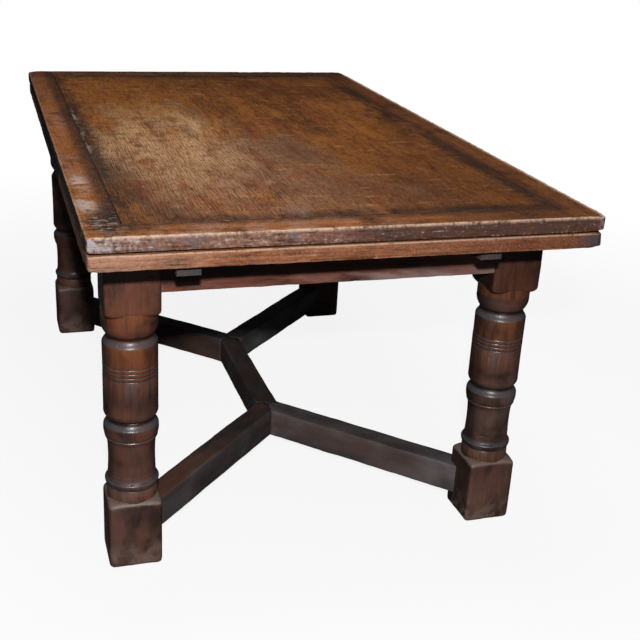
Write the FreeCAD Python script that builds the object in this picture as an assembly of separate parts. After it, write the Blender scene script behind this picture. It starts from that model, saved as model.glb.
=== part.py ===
import FreeCAD, Part
import math
import os

Vector = FreeCAD.Vector

# Draw-leaf refectory table in oak. A loose framed top lies over two leaves, one at each end. Each leaf is
# fixed to two wedge-cut bearers that slide up through notches in an end rail, so that the leaf climbs to the
# level of the top as it is drawn out. Millimetres. +X runs along the table to its front end, +Y across it
# and +Z up. The origin is on the floor under the middle of the table.

# Overall sizes
TOP_LENGTH = 1655.0
TOP_WIDTH = 995.0
TABLE_HEIGHT = 765.0

# Main top and leaves
TOP_THICKNESS = 30.0
LEAF_THICKNESS = 30.0
LIFT_GAP = 4.0
LEAF_SETBACK = 2.0
BORDER_WIDTH = 70.0
BOARD_COUNT = 5
TONGUE_LENGTH = 10.0
TONGUE_THICKNESS = 10.0
TONGUE_STOP = 15.0
GROOVE_CLEARANCE = 1.0
CORNER_RADIUS = 12.0
ARRIS_RADIUS = 2.5

# Centre board and the guide dowels between it and the top
CENTRE_BOARD_LENGTH = 520.0
CENTRE_BOARD_GAP = 3.0
CENTRE_PEG_RADIUS = 6.0
CENTRE_PEG_END_DISTANCE = 100.0
CENTRE_PEG_BITE = 40.0
GUIDE_RADIUS = 11.0
GUIDE_CLEARANCE = 1.5
GUIDE_SEAT_DEPTH = 24.0
GUIDE_RISE = 20.0
GUIDE_TIP_CLEARANCE = 2.0

# Bearers, their screws and stop pegs
DRAW_PAST = 1.0
BEARER_WIDTH = 44.0
BEARER_END_HEIGHT = 20.0
BEARER_END_SETBACK = 20.0
BEARER_LEG_GAP = 4.0
BEARER_PAIR_GAP = 8.0
BEARER_TAIL = 30.0
BEARER_SIDE_CLEARANCE = 0.5
BEARER_RUNNING_CLEARANCE = 0.2
BEARER_TOP_CLEARANCE = 0.5
SCREW_COUNT = 3
SCREW_RADIUS = 3.0
SCREW_HEAD_RADIUS = 6.0
SCREW_HEAD_HEIGHT = 4.0
SCREW_GRIP = 17.0
SCREW_BITE = 16.0
SCREW_END_DISTANCE = 80.0
COUNTERBORE_RADIUS = 6.5
STOP_PEG_RADIUS = 5.5
STOP_PEG_DROP = 14.0
STOP_PEG_BITE = 26.0
STOP_CLEARANCE = 0.5

# Legs: square blocks, and between them the turning, named from the floor up
LEG_SIDE = 110.0
LEG_END_INSET = 198.5
LEG_SIDE_INSET = 98.0
FOOT_HEIGHT = 153.0
TOP_BLOCK_HEIGHT = 146.0
POMMEL_DROP = 11.0
BLOCK_ARRIS = 2.0
BASE_RING_RADIUS = 52.0
BASE_RING_HEIGHT = 24.0
LOWER_BEAD_HEIGHT = 25.0
LOWER_BEAD_BULGE = 3.5
WAIST_RADIUS = 48.5
WAIST_HEIGHT = 60.0
WAIST_HOLLOW = 0.8
LOWER_FLARE_HEIGHT = 7.0
UPPER_FLARE_HEIGHT = 15.0
FLARE_HOLLOW = 1.0
TORUS_RADIUS = 55.0
TORUS_HEIGHT = 24.0
TORUS_BULGE = 2.2
ROLL_RADIUS = 51.0
ROLL_HEIGHT = 6.0
ROLL_BULGE = 0.8
NECK_RADIUS = 48.5
NECK_HEIGHT = 4.0
DRUM_RADIUS = 55.0
DRUM_FOOT_HEIGHT = 24.0
DRUM_FOOT_BULGE = 2.2
DRUM_SHOULDER_HEIGHT = 11.0
DRUM_SHOULDER_BULGE = 1.2
CUSHION_HEIGHT = 20.0
CUSHION_BULGE = 2.0
COLLAR_RADIUS = 56.5
COLLAR_HEIGHT = 21.0
RING_COUNT = 4
RING_PITCH = 8.5
RING_WIDTH = 3.0
RING_DEPTH = 1.5
RING_PLACE = 0.66

# Rails and their joints
RAIL_THICKNESS = 28.0
RAIL_DEPTH = 98.0
RAIL_SETBACK = 5.0
RAIL_TENON_THICKNESS = 12.0
RAIL_TENON_LENGTH = 45.0
RAIL_TENON_SHOULDER = 14.0
RAIL_PEG_RADIUS = 5.0
RAIL_PEG_SPACING = 36.0
RAIL_PEG_DISTANCE = 20.0
RAIL_PEG_PAST = 12.0
CROSS_RAIL_THICKNESS = 24.0
CROSS_TENON_LENGTH = 14.0
CROSS_TENON_THICKNESS = 12.0

# Floor stretcher
STRETCHER_WIDTH = 56.0
STRETCHER_HEIGHT = 72.0
STRETCHER_CLEARANCE = 36.0
STRETCHER_NODE_X = 215.0
ARM_TENON_THICKNESS = 18.0
ARM_TENON_SHOULDER = 14.0
ARM_TENON_DEPTH = 46.0
NODE_TENON_THICKNESS = 14.0
NODE_TENON_LENGTH = 11.0

# Places worked out from the sizes
top_x = TOP_LENGTH / 2
top_y = TOP_WIDTH / 2
top_z = TABLE_HEIGHT - TOP_THICKNESS
leaf_top_z = top_z - LIFT_GAP
rail_top_z = leaf_top_z - LEAF_THICKNESS
rail_bottom_z = rail_top_z - RAIL_DEPTH
leaf_out_x = top_x - LEAF_SETBACK
leaf_in_x = CENTRE_BOARD_LENGTH / 2 + CENTRE_BOARD_GAP
leaf_y = top_y - LEAF_SETBACK
leg_x = top_x - LEG_END_INSET
leg_y = top_y - LEG_SIDE_INSET
leg_half = LEG_SIDE / 2
leg_inner_x = leg_x - leg_half
leg_inner_y = leg_y - leg_half
end_rail_out_x = leg_x + leg_half - RAIL_SETBACK
end_rail_in_x = end_rail_out_x - RAIL_THICKNESS
side_rail_out_y = leg_y + leg_half - RAIL_SETBACK
side_rail_in_y = side_rail_out_y - RAIL_THICKNESS

# A drawn leaf travels until its inner edge just clears the end of the top, and climbs to be level with it.
draw_run = top_x - leaf_in_x + DRAW_PAST
draw_rise = TOP_THICKNESS + LIFT_GAP
draw_slope = draw_rise / draw_run

parts = {}


def block(x0, x1, y0, y1, z0, z1):
    return Part.makeBox(x1 - x0, y1 - y0, z1 - z0, Vector(x0, y0, z0))


def prism_along_y(outline, y0, y1):
    corners = [Vector(x, y0, z) for x, z in outline]
    face = Part.Face(Part.makePolygon(corners + corners[:1]))
    return face.extrude(Vector(0, y1 - y0, 0))


def prism_up(outline, z0, z1):
    corners = [Vector(x, y, z0) for x, y in outline]
    face = Part.Face(Part.makePolygon(corners + corners[:1]))
    return face.extrude(Vector(0, 0, z1 - z0))


def half_turned(shape):
    turned = shape.copy()
    turned.rotate(Vector(0, 0, 0), Vector(0, 0, 1), 180)
    return turned


def mirrored(shape, normal):
    return shape.mirror(Vector(0, 0, 0), normal)


def edges_along(shape, direction):
    found = []
    for edge in shape.Edges:
        ends = [vertex.Point for vertex in edge.Vertexes]
        if len(ends) == 2 and (ends[1] - ends[0]).cross(direction).Length < 1e-6:
            found.append(edge)
    return found


def rounded_slab(x0, x1, y0, y1, z0, z1, corner_xs):
    """A slab with rounded upright corners at the ends named, and eased edges all round."""
    slab = block(x0, x1, y0, y1, z0, z1)
    upright = edges_along(slab, Vector(0, 0, 1))
    slab = slab.makeFillet(CORNER_RADIUS, [edge for edge in upright if edge.Vertexes[0].X in corner_xs])
    rim = [edge for edge in slab.Edges if edge.BoundBox.ZLength < 1e-6]
    return slab.makeFillet(ARRIS_RADIUS, rim)


def tongue_heights(z0, z1):
    middle = (z0 + z1) / 2
    return middle - TONGUE_THICKNESS / 2, middle + TONGUE_THICKNESS / 2


def boards(x0, x1, half_width, z0, z1, tongue_x0, tongue_x1):
    """Glued boards side by side, with tongues at the ends and along the two outer edges."""
    low, high = tongue_heights(z0, z1)
    tongue_y = half_width + TONGUE_LENGTH
    panel = block(x0, x1, -half_width, half_width, z0, z1)
    panel = panel.fuse(block(tongue_x0, tongue_x1, -tongue_y, tongue_y, low, high))
    width = 2 * half_width / BOARD_COUNT
    joints = [-half_width + width * number for number in range(BOARD_COUNT + 1)]
    joints[0] = -tongue_y
    joints[-1] = tongue_y
    strips = zip(joints, joints[1:])
    return [panel.common(block(tongue_x0, tongue_x1, y0, y1, z0, z1)).removeSplitter() for y0, y1 in strips]


# Main top. The two end borders and the two side borders chase each other round the boards: each runs through
# at one corner and is tongued into the next piece at the other.
panel_x = top_x - BORDER_WIDTH
panel_y = top_y - BORDER_WIDTH
groove_depth = TONGUE_LENGTH + GROOVE_CLEARANCE
top_low, top_high = tongue_heights(top_z, TABLE_HEIGHT)

top_slab = rounded_slab(-top_x, top_x, -top_y, top_y, top_z, TABLE_HEIGHT, (-top_x, top_x))
top_groove = block(-panel_x - groove_depth, panel_x + groove_depth,
                   -panel_y - groove_depth, panel_y + groove_depth, top_low, top_high)
end_stub = block(panel_x + groove_depth, top_x - TONGUE_STOP,
                 panel_y, panel_y + TONGUE_LENGTH, top_low, top_high)
side_stub = block(-panel_x - TONGUE_LENGTH, -panel_x,
                  panel_y + groove_depth, top_y - TONGUE_STOP, top_low, top_high)

end_border = top_slab.common(block(panel_x, top_x, -top_y, panel_y, top_z, TABLE_HEIGHT))
end_border = end_border.cut(top_groove).cut(half_turned(side_stub)).fuse(end_stub)
side_border = top_slab.common(block(-panel_x, top_x, panel_y, top_y, top_z, TABLE_HEIGHT))
side_border = side_border.cut(top_groove).cut(end_stub).fuse(side_stub)
parts["top_end_border_front"] = end_border
parts["top_end_border_rear"] = half_turned(end_border)
parts["top_side_border_right"] = side_border
parts["top_side_border_left"] = half_turned(side_border)

# Two loose dowels stand in the centre board and keep the top in place. Each comes up under the middle of
# the board next to an outer one.
guide_y = 2 * panel_y / BOARD_COUNT
guide_dowels = []
guide_seats = []
guide_sockets = []
for y in (-guide_y, guide_y):
    hole_radius = GUIDE_RADIUS + GUIDE_CLEARANCE
    socket_depth = GUIDE_RISE + GUIDE_TIP_CLEARANCE
    seat = Vector(0, y, top_z - GUIDE_SEAT_DEPTH)
    guide_dowels.append(Part.makeCylinder(GUIDE_RADIUS, GUIDE_SEAT_DEPTH + GUIDE_RISE, seat))
    guide_seats.append(Part.makeCylinder(hole_radius, GUIDE_SEAT_DEPTH, seat))
    guide_sockets.append(Part.makeCylinder(hole_radius, socket_depth, Vector(0, y, top_z)))
parts["guide_dowels"] = Part.makeCompound(guide_dowels)

top_boards = boards(-panel_x, panel_x, panel_y, top_z, TABLE_HEIGHT,
                    -panel_x - TONGUE_LENGTH, panel_x + TONGUE_LENGTH)
for number, board in enumerate(top_boards, 1):
    parts[f"top_board_{number}"] = board.cut(guide_sockets)

# Front leaf: boards, an end border and two side borders. Its inner edge has no border. The rear leaf is the
# same leaf turned half round.
leaf_panel_x = leaf_out_x - BORDER_WIDTH
leaf_panel_y = leaf_y - BORDER_WIDTH
leaf_low, leaf_high = tongue_heights(rail_top_z, leaf_top_z)

leaf_slab = rounded_slab(leaf_in_x, leaf_out_x, -leaf_y, leaf_y, rail_top_z, leaf_top_z, (leaf_out_x,))
leaf_groove = block(leaf_in_x, leaf_panel_x + groove_depth,
                    -leaf_panel_y - groove_depth, leaf_panel_y + groove_depth, leaf_low, leaf_high)
leaf_end_stub = block(leaf_panel_x + groove_depth, leaf_out_x - TONGUE_STOP,
                      leaf_panel_y, leaf_panel_y + TONGUE_LENGTH, leaf_low, leaf_high)
leaf_side_stub = block(leaf_panel_x, leaf_panel_x + TONGUE_LENGTH,
                       -leaf_y + TONGUE_STOP, -leaf_panel_y - groove_depth, leaf_low, leaf_high)

leaf_end = leaf_slab.common(block(leaf_panel_x, leaf_out_x, -leaf_y, leaf_panel_y, rail_top_z, leaf_top_z))
leaf_end = leaf_end.cut(leaf_groove).cut(leaf_side_stub).fuse(leaf_end_stub)
leaf_through = leaf_slab.common(block(leaf_in_x, leaf_out_x, leaf_panel_y, leaf_y, rail_top_z, leaf_top_z))
leaf_through = leaf_through.cut(leaf_groove).cut(leaf_end_stub)
leaf_butted = leaf_slab.common(block(leaf_in_x, leaf_panel_x, -leaf_y, -leaf_panel_y, rail_top_z, leaf_top_z))
leaf_butted = leaf_butted.cut(leaf_groove).fuse(leaf_side_stub)
leaf = {"end_border": leaf_end, "through_border": leaf_through, "butted_border": leaf_butted}
leaf_boards = boards(leaf_in_x, leaf_panel_x, leaf_panel_y, rail_top_z, leaf_top_z,
                     leaf_in_x, leaf_panel_x + TONGUE_LENGTH)

# Bearers of the front leaf. The lower edge is one straight slope, which rests in the end rail and the cross
# rail. The upper edge carries the leaf and then runs parallel to the slope under the centre board.
bearer_out_x = leaf_out_x - BEARER_END_SETBACK
bearer_in_x = -CROSS_RAIL_THICKNESS / 2 - BEARER_TAIL - draw_run
bearer_end_z = rail_top_z - BEARER_END_HEIGHT
outer_bearer_y = leg_inner_y - BEARER_LEG_GAP - BEARER_WIDTH / 2
inner_bearer_y = outer_bearer_y - BEARER_WIDTH - BEARER_PAIR_GAP
bearer_ys = {"outer_bearer": -outer_bearer_y, "inner_bearer": inner_bearer_y}


def bearer_low(x):
    return bearer_end_z - (bearer_out_x - x) * draw_slope


def bearer_high(x):
    return rail_top_z - BEARER_TOP_CLEARANCE - (leaf_in_x - x) * draw_slope


def notch(y, x0, x1):
    """Space that a bearer of the front leaf slides through in a rail between x0 and x1."""
    half = BEARER_WIDTH / 2 + BEARER_SIDE_CLEARANCE
    outline = [(x, bearer_low(x) - BEARER_RUNNING_CLEARANCE) for x in (x0, x1)]
    outline += [(x1, rail_top_z), (x0, rail_top_z)]
    return prism_along_y(outline, y - half, y + half)


bearer_outline = [
    (bearer_out_x, bearer_low(bearer_out_x)),
    (bearer_out_x, rail_top_z),
    (leaf_in_x, rail_top_z),
    (leaf_in_x, bearer_high(leaf_in_x)),
    (bearer_in_x, bearer_high(bearer_in_x)),
    (bearer_in_x, bearer_low(bearer_in_x)),
]
stop_peg_x = end_rail_in_x - STOP_CLEARANCE - STOP_PEG_RADIUS - draw_run
screw_first_x = leaf_in_x + SCREW_END_DISTANCE
screw_pitch = (bearer_out_x - SCREW_END_DISTANCE - screw_first_x) / (SCREW_COUNT - 1)
screws = []
stop_pegs = []
for name, y in bearer_ys.items():
    bearer = prism_along_y(bearer_outline, y - BEARER_WIDTH / 2, y + BEARER_WIDTH / 2)
    peg_foot = Vector(stop_peg_x, y, bearer_low(stop_peg_x) - STOP_PEG_DROP)
    peg = Part.makeCylinder(STOP_PEG_RADIUS, STOP_PEG_DROP + STOP_PEG_BITE, peg_foot)
    stop_pegs.append(peg)
    bearer = bearer.cut(peg)
    for number in range(SCREW_COUNT):
        head = Vector(screw_first_x + screw_pitch * number, y, rail_top_z - SCREW_GRIP)
        screw = Part.makeCylinder(SCREW_RADIUS, SCREW_GRIP + SCREW_BITE, head)
        screw = screw.fuse(Part.makeCone(SCREW_HEAD_RADIUS, SCREW_RADIUS, SCREW_HEAD_HEIGHT, head))
        mouth = Part.makeCylinder(COUNTERBORE_RADIUS, RAIL_DEPTH, head, Vector(0, 0, -1))
        screws.append(screw)
        bearer = bearer.cut([screw, mouth])
    leaf[name] = bearer
leaf["stop_pegs"] = Part.makeCompound(stop_pegs)
leaf["screws"] = Part.makeCompound(screws)
for number, board in enumerate(leaf_boards, 1):
    leaf[f"board_{number}"] = board.cut(screws)
for name, shape in leaf.items():
    parts[f"front_leaf_{name}"] = shape
    parts[f"rear_leaf_{name}"] = half_turned(shape)

# Rails, tenoned into the legs. Each end rail is notched for the bearers of its own leaf, and the cross rail
# under the middle is notched for all four.
tenon_low_z = rail_bottom_z + RAIL_TENON_SHOULDER
tenon_high_z = rail_top_z - RAIL_TENON_SHOULDER
end_rail_mid_x = (end_rail_out_x + end_rail_in_x) / 2
side_rail_mid_y = (side_rail_out_y + side_rail_in_y) / 2
tenon_half = RAIL_TENON_THICKNESS / 2
end_tenon_y = leg_inner_y + RAIL_TENON_LENGTH
side_tenon_x = leg_inner_x + RAIL_TENON_LENGTH

end_rail = block(end_rail_in_x, end_rail_out_x, -leg_inner_y, leg_inner_y, rail_bottom_z, rail_top_z)
end_rail = end_rail.fuse(block(end_rail_mid_x - tenon_half, end_rail_mid_x + tenon_half,
                               -end_tenon_y, end_tenon_y, tenon_low_z, tenon_high_z))
for y in bearer_ys.values():
    end_rail = end_rail.cut(notch(y, end_rail_in_x, end_rail_out_x))

side_rail = block(-leg_inner_x, leg_inner_x, side_rail_in_y, side_rail_out_y, rail_bottom_z, rail_top_z)
side_rail = side_rail.fuse(block(-side_tenon_x, side_tenon_x, side_rail_mid_y - tenon_half,
                                 side_rail_mid_y + tenon_half, tenon_low_z, tenon_high_z))

cross_half = CROSS_RAIL_THICKNESS / 2
cross_tenon_half = CROSS_TENON_THICKNESS / 2
cross_tenon_y = side_rail_in_y + CROSS_TENON_LENGTH
cross_rail = block(-cross_half, cross_half, -side_rail_in_y, side_rail_in_y, rail_bottom_z, rail_top_z)
cross_rail = cross_rail.fuse(block(-cross_tenon_half, cross_tenon_half, -cross_tenon_y, cross_tenon_y,
                                   tenon_low_z, tenon_high_z))
for y in bearer_ys.values():
    bearer_notch = notch(y, -cross_half, cross_half)
    cross_rail = cross_rail.cut([bearer_notch, half_turned(bearer_notch)])
side_rail = side_rail.cut(cross_rail)

# Pegs through the tenons of the rails, driven in from the outer faces of the legs
rail_pegs = []
peg_length = RAIL_SETBACK + (RAIL_THICKNESS + RAIL_TENON_THICKNESS) / 2 + RAIL_PEG_PAST
for z_step in (-RAIL_PEG_SPACING / 2, RAIL_PEG_SPACING / 2):
    z = (tenon_low_z + tenon_high_z) / 2 + z_step
    end_head = Vector(leg_x + leg_half, leg_inner_y + RAIL_PEG_DISTANCE, z)
    side_head = Vector(leg_inner_x + RAIL_PEG_DISTANCE, leg_y + leg_half, z)
    end_peg = Part.makeCylinder(RAIL_PEG_RADIUS, peg_length, end_head, Vector(-1, 0, 0))
    side_peg = Part.makeCylinder(RAIL_PEG_RADIUS, peg_length, side_head, Vector(0, -1, 0))
    for peg in (end_peg, side_peg):
        pair = [peg, mirrored(peg, Vector(0, 1, 0))]
        rail_pegs += pair + [half_turned(shape) for shape in pair]
end_rail = end_rail.cut(rail_pegs)
side_rail = side_rail.cut(rail_pegs)

# Centre board, pegged to the side rails. The loose top rests on it.
centre_x = CENTRE_BOARD_LENGTH / 2
centre_board = block(-centre_x, centre_x, -leaf_y, leaf_y, rail_top_z, top_z)
centre_pegs = []
centre_peg_x = centre_x - CENTRE_PEG_END_DISTANCE
for x in (-centre_peg_x, centre_peg_x):
    for y in (-side_rail_mid_y, side_rail_mid_y):
        foot = Vector(x, y, rail_top_z - CENTRE_PEG_BITE)
        centre_pegs.append(Part.makeCylinder(CENTRE_PEG_RADIUS, CENTRE_PEG_BITE + top_z - rail_top_z, foot))
side_rail = side_rail.cut(centre_pegs)

parts["centre_board"] = centre_board.cut(guide_seats + centre_pegs)
parts["centre_board_pegs"] = Part.makeCompound(centre_pegs)
parts["rail_pegs"] = Part.makeCompound(rail_pegs)
parts["cross_rail"] = cross_rail
parts["end_rail_front"] = end_rail
parts["end_rail_rear"] = half_turned(end_rail)
parts["side_rail_right"] = side_rail
parts["side_rail_left"] = half_turned(side_rail)

# Floor stretcher: a middle beam that forks at both ends into two arms, which reach to the feet. The three
# pieces of a fork meet in mitres, and each arm is tenoned at both ends.
stretcher_low_z = STRETCHER_CLEARANCE
stretcher_high_z = STRETCHER_CLEARANCE + STRETCHER_HEIGHT
stretcher_half = STRETCHER_WIDTH / 2
arm_angle = math.atan2(leg_y, leg_x - STRETCHER_NODE_X)
arm_length = math.hypot(leg_y, leg_x - STRETCHER_NODE_X)
fork_front = Vector(STRETCHER_NODE_X + stretcher_half / math.sin(arm_angle), 0, 0)
fork_side = Vector(STRETCHER_NODE_X - stretcher_half * math.tan(arm_angle / 2), stretcher_half, 0)
node = Vector(STRETCHER_NODE_X, 0, 0)


def along_arm(distance, offset, z=0):
    """Point beside the middle line of the front right arm, measured from the fork."""
    x = STRETCHER_NODE_X + distance * math.cos(arm_angle) - offset * math.sin(arm_angle)
    y = distance * math.sin(arm_angle) + offset * math.cos(arm_angle)
    return Vector(x, y, z)


def arm_bar(start, end, middle, thickness, shoulder):
    """Straight bar along the arm, lower than the arm by a shoulder above and below."""
    outline = [along_arm(start, middle - thickness / 2), along_arm(end, middle - thickness / 2),
               along_arm(end, middle + thickness / 2), along_arm(start, middle + thickness / 2)]
    return prism_up([(p.x, p.y) for p in outline], stretcher_low_z + shoulder, stretcher_high_z - shoulder)


foot_block = block(leg_x - leg_half, leg_x + leg_half, leg_y - leg_half, leg_y + leg_half, 0, FOOT_HEIGHT)
arm_outline = [node, fork_front, along_arm(arm_length, -stretcher_half),
               along_arm(arm_length, stretcher_half), fork_side]
arm = prism_up([(p.x, p.y) for p in arm_outline], stretcher_low_z, stretcher_high_z).cut(foot_block)
corner_distance = arm_length - math.hypot(leg_half, leg_half)
foot_tenon = arm_bar(corner_distance - STRETCHER_WIDTH, corner_distance + ARM_TENON_DEPTH, 0,
                     ARM_TENON_THICKNESS, ARM_TENON_SHOULDER)
mitre_distance = (fork_side - node).dot(along_arm(1, 0) - node) / 2
mitre_offset = stretcher_half / 2
fork_tenon = arm_bar(mitre_distance - NODE_TENON_LENGTH, mitre_distance + STRETCHER_WIDTH, mitre_offset,
                     NODE_TENON_THICKNESS, ARM_TENON_SHOULDER)
arm = arm.fuse([foot_tenon, fork_tenon]).removeSplitter()

beam_half_outline = [(fork_side.x, -stretcher_half), (STRETCHER_NODE_X, 0), (fork_side.x, stretcher_half)]
beam_outline = beam_half_outline + [(-x, -y) for x, y in beam_half_outline]
beam = prism_up(beam_outline, stretcher_low_z, stretcher_high_z)

arms = {"front_right": arm, "front_left": mirrored(arm, Vector(0, 1, 0))}
arms["rear_left"] = half_turned(arms["front_right"])
arms["rear_right"] = half_turned(arms["front_left"])
for name, shape in arms.items():
    parts[f"stretcher_arm_{name}"] = shape
parts["stretcher_beam"] = beam.cut(list(arms.values()))

# Legs. The turning is one outline from the foot to the top block, and the drum takes up the height that the
# other members leave.
top_block_z = rail_top_z - TOP_BLOCK_HEIGHT
outline_edges = []
pen = Vector(BASE_RING_RADIUS, 0, FOOT_HEIGHT)


def turn_to(radius, height, bulge=0.0):
    """Carries the turning's outline up to a radius, straight or with a round that swells by the bulge."""
    global pen
    end = Vector(radius, 0, pen.z + height)
    if bulge:
        middle = (pen + end) / 2 + Vector(bulge, 0, 0)
        outline_edges.append(Part.Arc(pen, middle, end).toShape())
    else:
        outline_edges.append(Part.makeLine(pen, end))
    pen = end


def cut_ring():
    """A narrow V cut round the leg."""
    radius = pen.x
    turn_to(radius - RING_DEPTH, RING_WIDTH / 2)
    turn_to(radius, RING_WIDTH / 2)


turn_to(BASE_RING_RADIUS, BASE_RING_HEIGHT)
cut_ring()
turn_to(BASE_RING_RADIUS, LOWER_BEAD_HEIGHT, LOWER_BEAD_BULGE)
turn_to(WAIST_RADIUS, LOWER_FLARE_HEIGHT, -FLARE_HOLLOW)
turn_to(WAIST_RADIUS, WAIST_HEIGHT, -WAIST_HOLLOW)
turn_to(TORUS_RADIUS, UPPER_FLARE_HEIGHT, -FLARE_HOLLOW)
cut_ring()
turn_to(ROLL_RADIUS, TORUS_HEIGHT, TORUS_BULGE)
cut_ring()
turn_to(NECK_RADIUS, ROLL_HEIGHT, ROLL_BULGE)
turn_to(DRUM_RADIUS, DRUM_FOOT_HEIGHT, DRUM_FOOT_BULGE)
drum_top_z = (top_block_z - COLLAR_HEIGHT - CUSHION_HEIGHT - NECK_HEIGHT - ROLL_HEIGHT - DRUM_SHOULDER_HEIGHT
              - 2 * RING_WIDTH)
ring_span = RING_PITCH * (RING_COUNT - 1) + RING_WIDTH
drum_plain_height = drum_top_z - pen.z - ring_span
turn_to(DRUM_RADIUS, drum_plain_height * RING_PLACE)
cut_ring()
for number in range(RING_COUNT - 1):
    turn_to(DRUM_RADIUS, RING_PITCH - RING_WIDTH)
    cut_ring()
turn_to(DRUM_RADIUS, drum_top_z - pen.z)
turn_to(ROLL_RADIUS, DRUM_SHOULDER_HEIGHT, DRUM_SHOULDER_BULGE)
cut_ring()
turn_to(NECK_RADIUS, ROLL_HEIGHT, ROLL_BULGE)
turn_to(NECK_RADIUS, NECK_HEIGHT)
turn_to(COLLAR_RADIUS, CUSHION_HEIGHT, CUSHION_BULGE)
cut_ring()
turn_to(COLLAR_RADIUS, COLLAR_HEIGHT)
turn_to(0, 0)
outline_edges.append(Part.makeLine(pen, Vector(0, 0, FOOT_HEIGHT)))
outline_edges.append(Part.makeLine(Vector(0, 0, FOOT_HEIGHT), Vector(BASE_RING_RADIUS, 0, FOOT_HEIGHT)))
turning = Part.Face(Part.Wire(outline_edges)).revolve(Vector(0, 0, 0), Vector(0, 0, 1), 360)


def square_block(height, neck_radius):
    """Square block with its upper corners turned away to a neck."""
    side = block(-leg_half, leg_half, -leg_half, leg_half, 0, height)
    side = side.makeChamfer(BLOCK_ARRIS, edges_along(side, Vector(0, 0, 1)))
    corner = math.hypot(leg_half, leg_half)
    shoulder_z = height - POMMEL_DROP
    round_middle = Vector((corner + neck_radius) / 2, 0, height - POMMEL_DROP / 4)
    cheek = [
        Part.makeLine(Vector(0, 0, 0), Vector(corner, 0, 0)),
        Part.makeLine(Vector(corner, 0, 0), Vector(corner, 0, shoulder_z)),
        Part.Arc(Vector(corner, 0, shoulder_z), round_middle, Vector(neck_radius, 0, height)).toShape(),
        Part.makeLine(Vector(neck_radius, 0, height), Vector(0, 0, height)),
        Part.makeLine(Vector(0, 0, height), Vector(0, 0, 0)),
    ]
    return side.common(Part.Face(Part.Wire(cheek)).revolve(Vector(0, 0, 0), Vector(0, 0, 1), 360))


foot = square_block(FOOT_HEIGHT, BASE_RING_RADIUS)
top_block = square_block(TOP_BLOCK_HEIGHT, COLLAR_RADIUS)
top_block = top_block.mirror(Vector(0, 0, 0), Vector(0, 0, 1))
top_block.translate(Vector(0, 0, rail_top_z))
leg = foot.fuse([turning, top_block]).removeSplitter()
leg_joints = [end_rail, half_turned(end_rail), side_rail, half_turned(side_rail)]
leg_joints += list(arms.values()) + rail_pegs
for end_name, x in (("front", leg_x), ("rear", -leg_x)):
    for side_name, y in (("left", -leg_y), ("right", leg_y)):
        placed = leg.copy()
        placed.translate(Vector(x, y, 0))
        parts[f"leg_{end_name}_{side_name}"] = placed.cut(leg_joints)

os.makedirs("parts", exist_ok=True)
for name, shape in parts.items():
    shape.exportStep(f"parts/{name}.step")
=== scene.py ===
import math

import bmesh
import bpy
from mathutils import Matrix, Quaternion, Vector


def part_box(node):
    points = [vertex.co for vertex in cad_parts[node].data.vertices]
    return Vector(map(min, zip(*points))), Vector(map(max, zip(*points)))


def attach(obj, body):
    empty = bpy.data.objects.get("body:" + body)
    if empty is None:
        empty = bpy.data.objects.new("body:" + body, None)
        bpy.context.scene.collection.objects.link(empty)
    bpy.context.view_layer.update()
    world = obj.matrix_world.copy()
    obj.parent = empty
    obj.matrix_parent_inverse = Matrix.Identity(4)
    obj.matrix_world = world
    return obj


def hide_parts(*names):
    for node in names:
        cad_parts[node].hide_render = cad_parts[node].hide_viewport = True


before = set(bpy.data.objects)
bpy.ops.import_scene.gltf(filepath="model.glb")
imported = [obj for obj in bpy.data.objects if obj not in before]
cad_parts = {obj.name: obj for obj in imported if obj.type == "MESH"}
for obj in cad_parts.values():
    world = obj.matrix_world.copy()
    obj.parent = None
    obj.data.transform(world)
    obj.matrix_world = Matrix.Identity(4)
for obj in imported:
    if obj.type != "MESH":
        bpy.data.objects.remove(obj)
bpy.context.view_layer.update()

# Legs
# Each of the four oak legs is turned from one square billet, left square at the foot and at the top, where
# the rails come in. The wood is waxed nearly black, rubbed brown on the swells and dusty at the foot.
leg_low, leg_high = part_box("leg_front_right")
leg_x = (leg_low.x + leg_high.x) / 2
leg_y = (leg_low.y + leg_high.y) / 2
LEG_SIDE = 0.110
FOOT_HEIGHT = 0.153
TOP_BLOCK_HEIGHT = 0.146
POMMEL_DROP = 0.011
BLOCK_ARRIS = 0.007
BLOCK_ARRIS_STEPS = 4
BLOCK_VOXEL = 0.0024
CHEEK_PLAY = 1.01
RUB = 0.5
FOOT_RUBS = 44
TOP_BLOCK_RUBS = 22
LATHE_FACETS = 96
ROUND_STEPS = 8
TURNED_INTO_BLOCK = 0.008
RING_WIDTH = 0.003
RING_DEPTH = 0.0010
BASE_RING_RADIUS = 0.052
BASE_RING_HEIGHT = 0.022
WAIST_RADIUS = 0.0485
NECK_RADIUS = 0.0472
NECK_HEIGHT = 0.0025
DRUM_RADIUS = 0.055
DRUM_RINGS = 4
DRUM_RING_PITCH = 0.0085
DRUM_RING_PLACE = 0.66
COLLAR_RADIUS = 0.0565
COLLAR_HEIGHT = 0.020
# The radius, height and swell of each round, from the foot up. A hollow has a swell below zero.
BEAD = (0.0550, 0.009, 0.0006)
BEAD_TOP = (0.0522, 0.006, 0.0010)
LEDGE = (0.0490, 0.011, -0.0009)
WAIST_FOOT = (WAIST_RADIUS, 0.008, -0.0005)
WAIST = (WAIST_RADIUS, 0.060, -0.001)
UPPER_FLARE = (0.0535, 0.015, -0.001)
TORUS = (0.0555, 0.020, 0.0010)
TORUS_TOP = (0.0520, 0.008, 0.0011)
COVE = (NECK_RADIUS, 0.0105, -0.0010)
DRUM_FOOT = (DRUM_RADIUS, 0.0185, 0.0027)
DRUM_SHOULDER = (0.0520, 0.009, 0.0011)
CUSHION = (COLLAR_RADIUS, 0.026, 0.0028)
LEG_WEAR = (0.0010, 0.0008)


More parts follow.
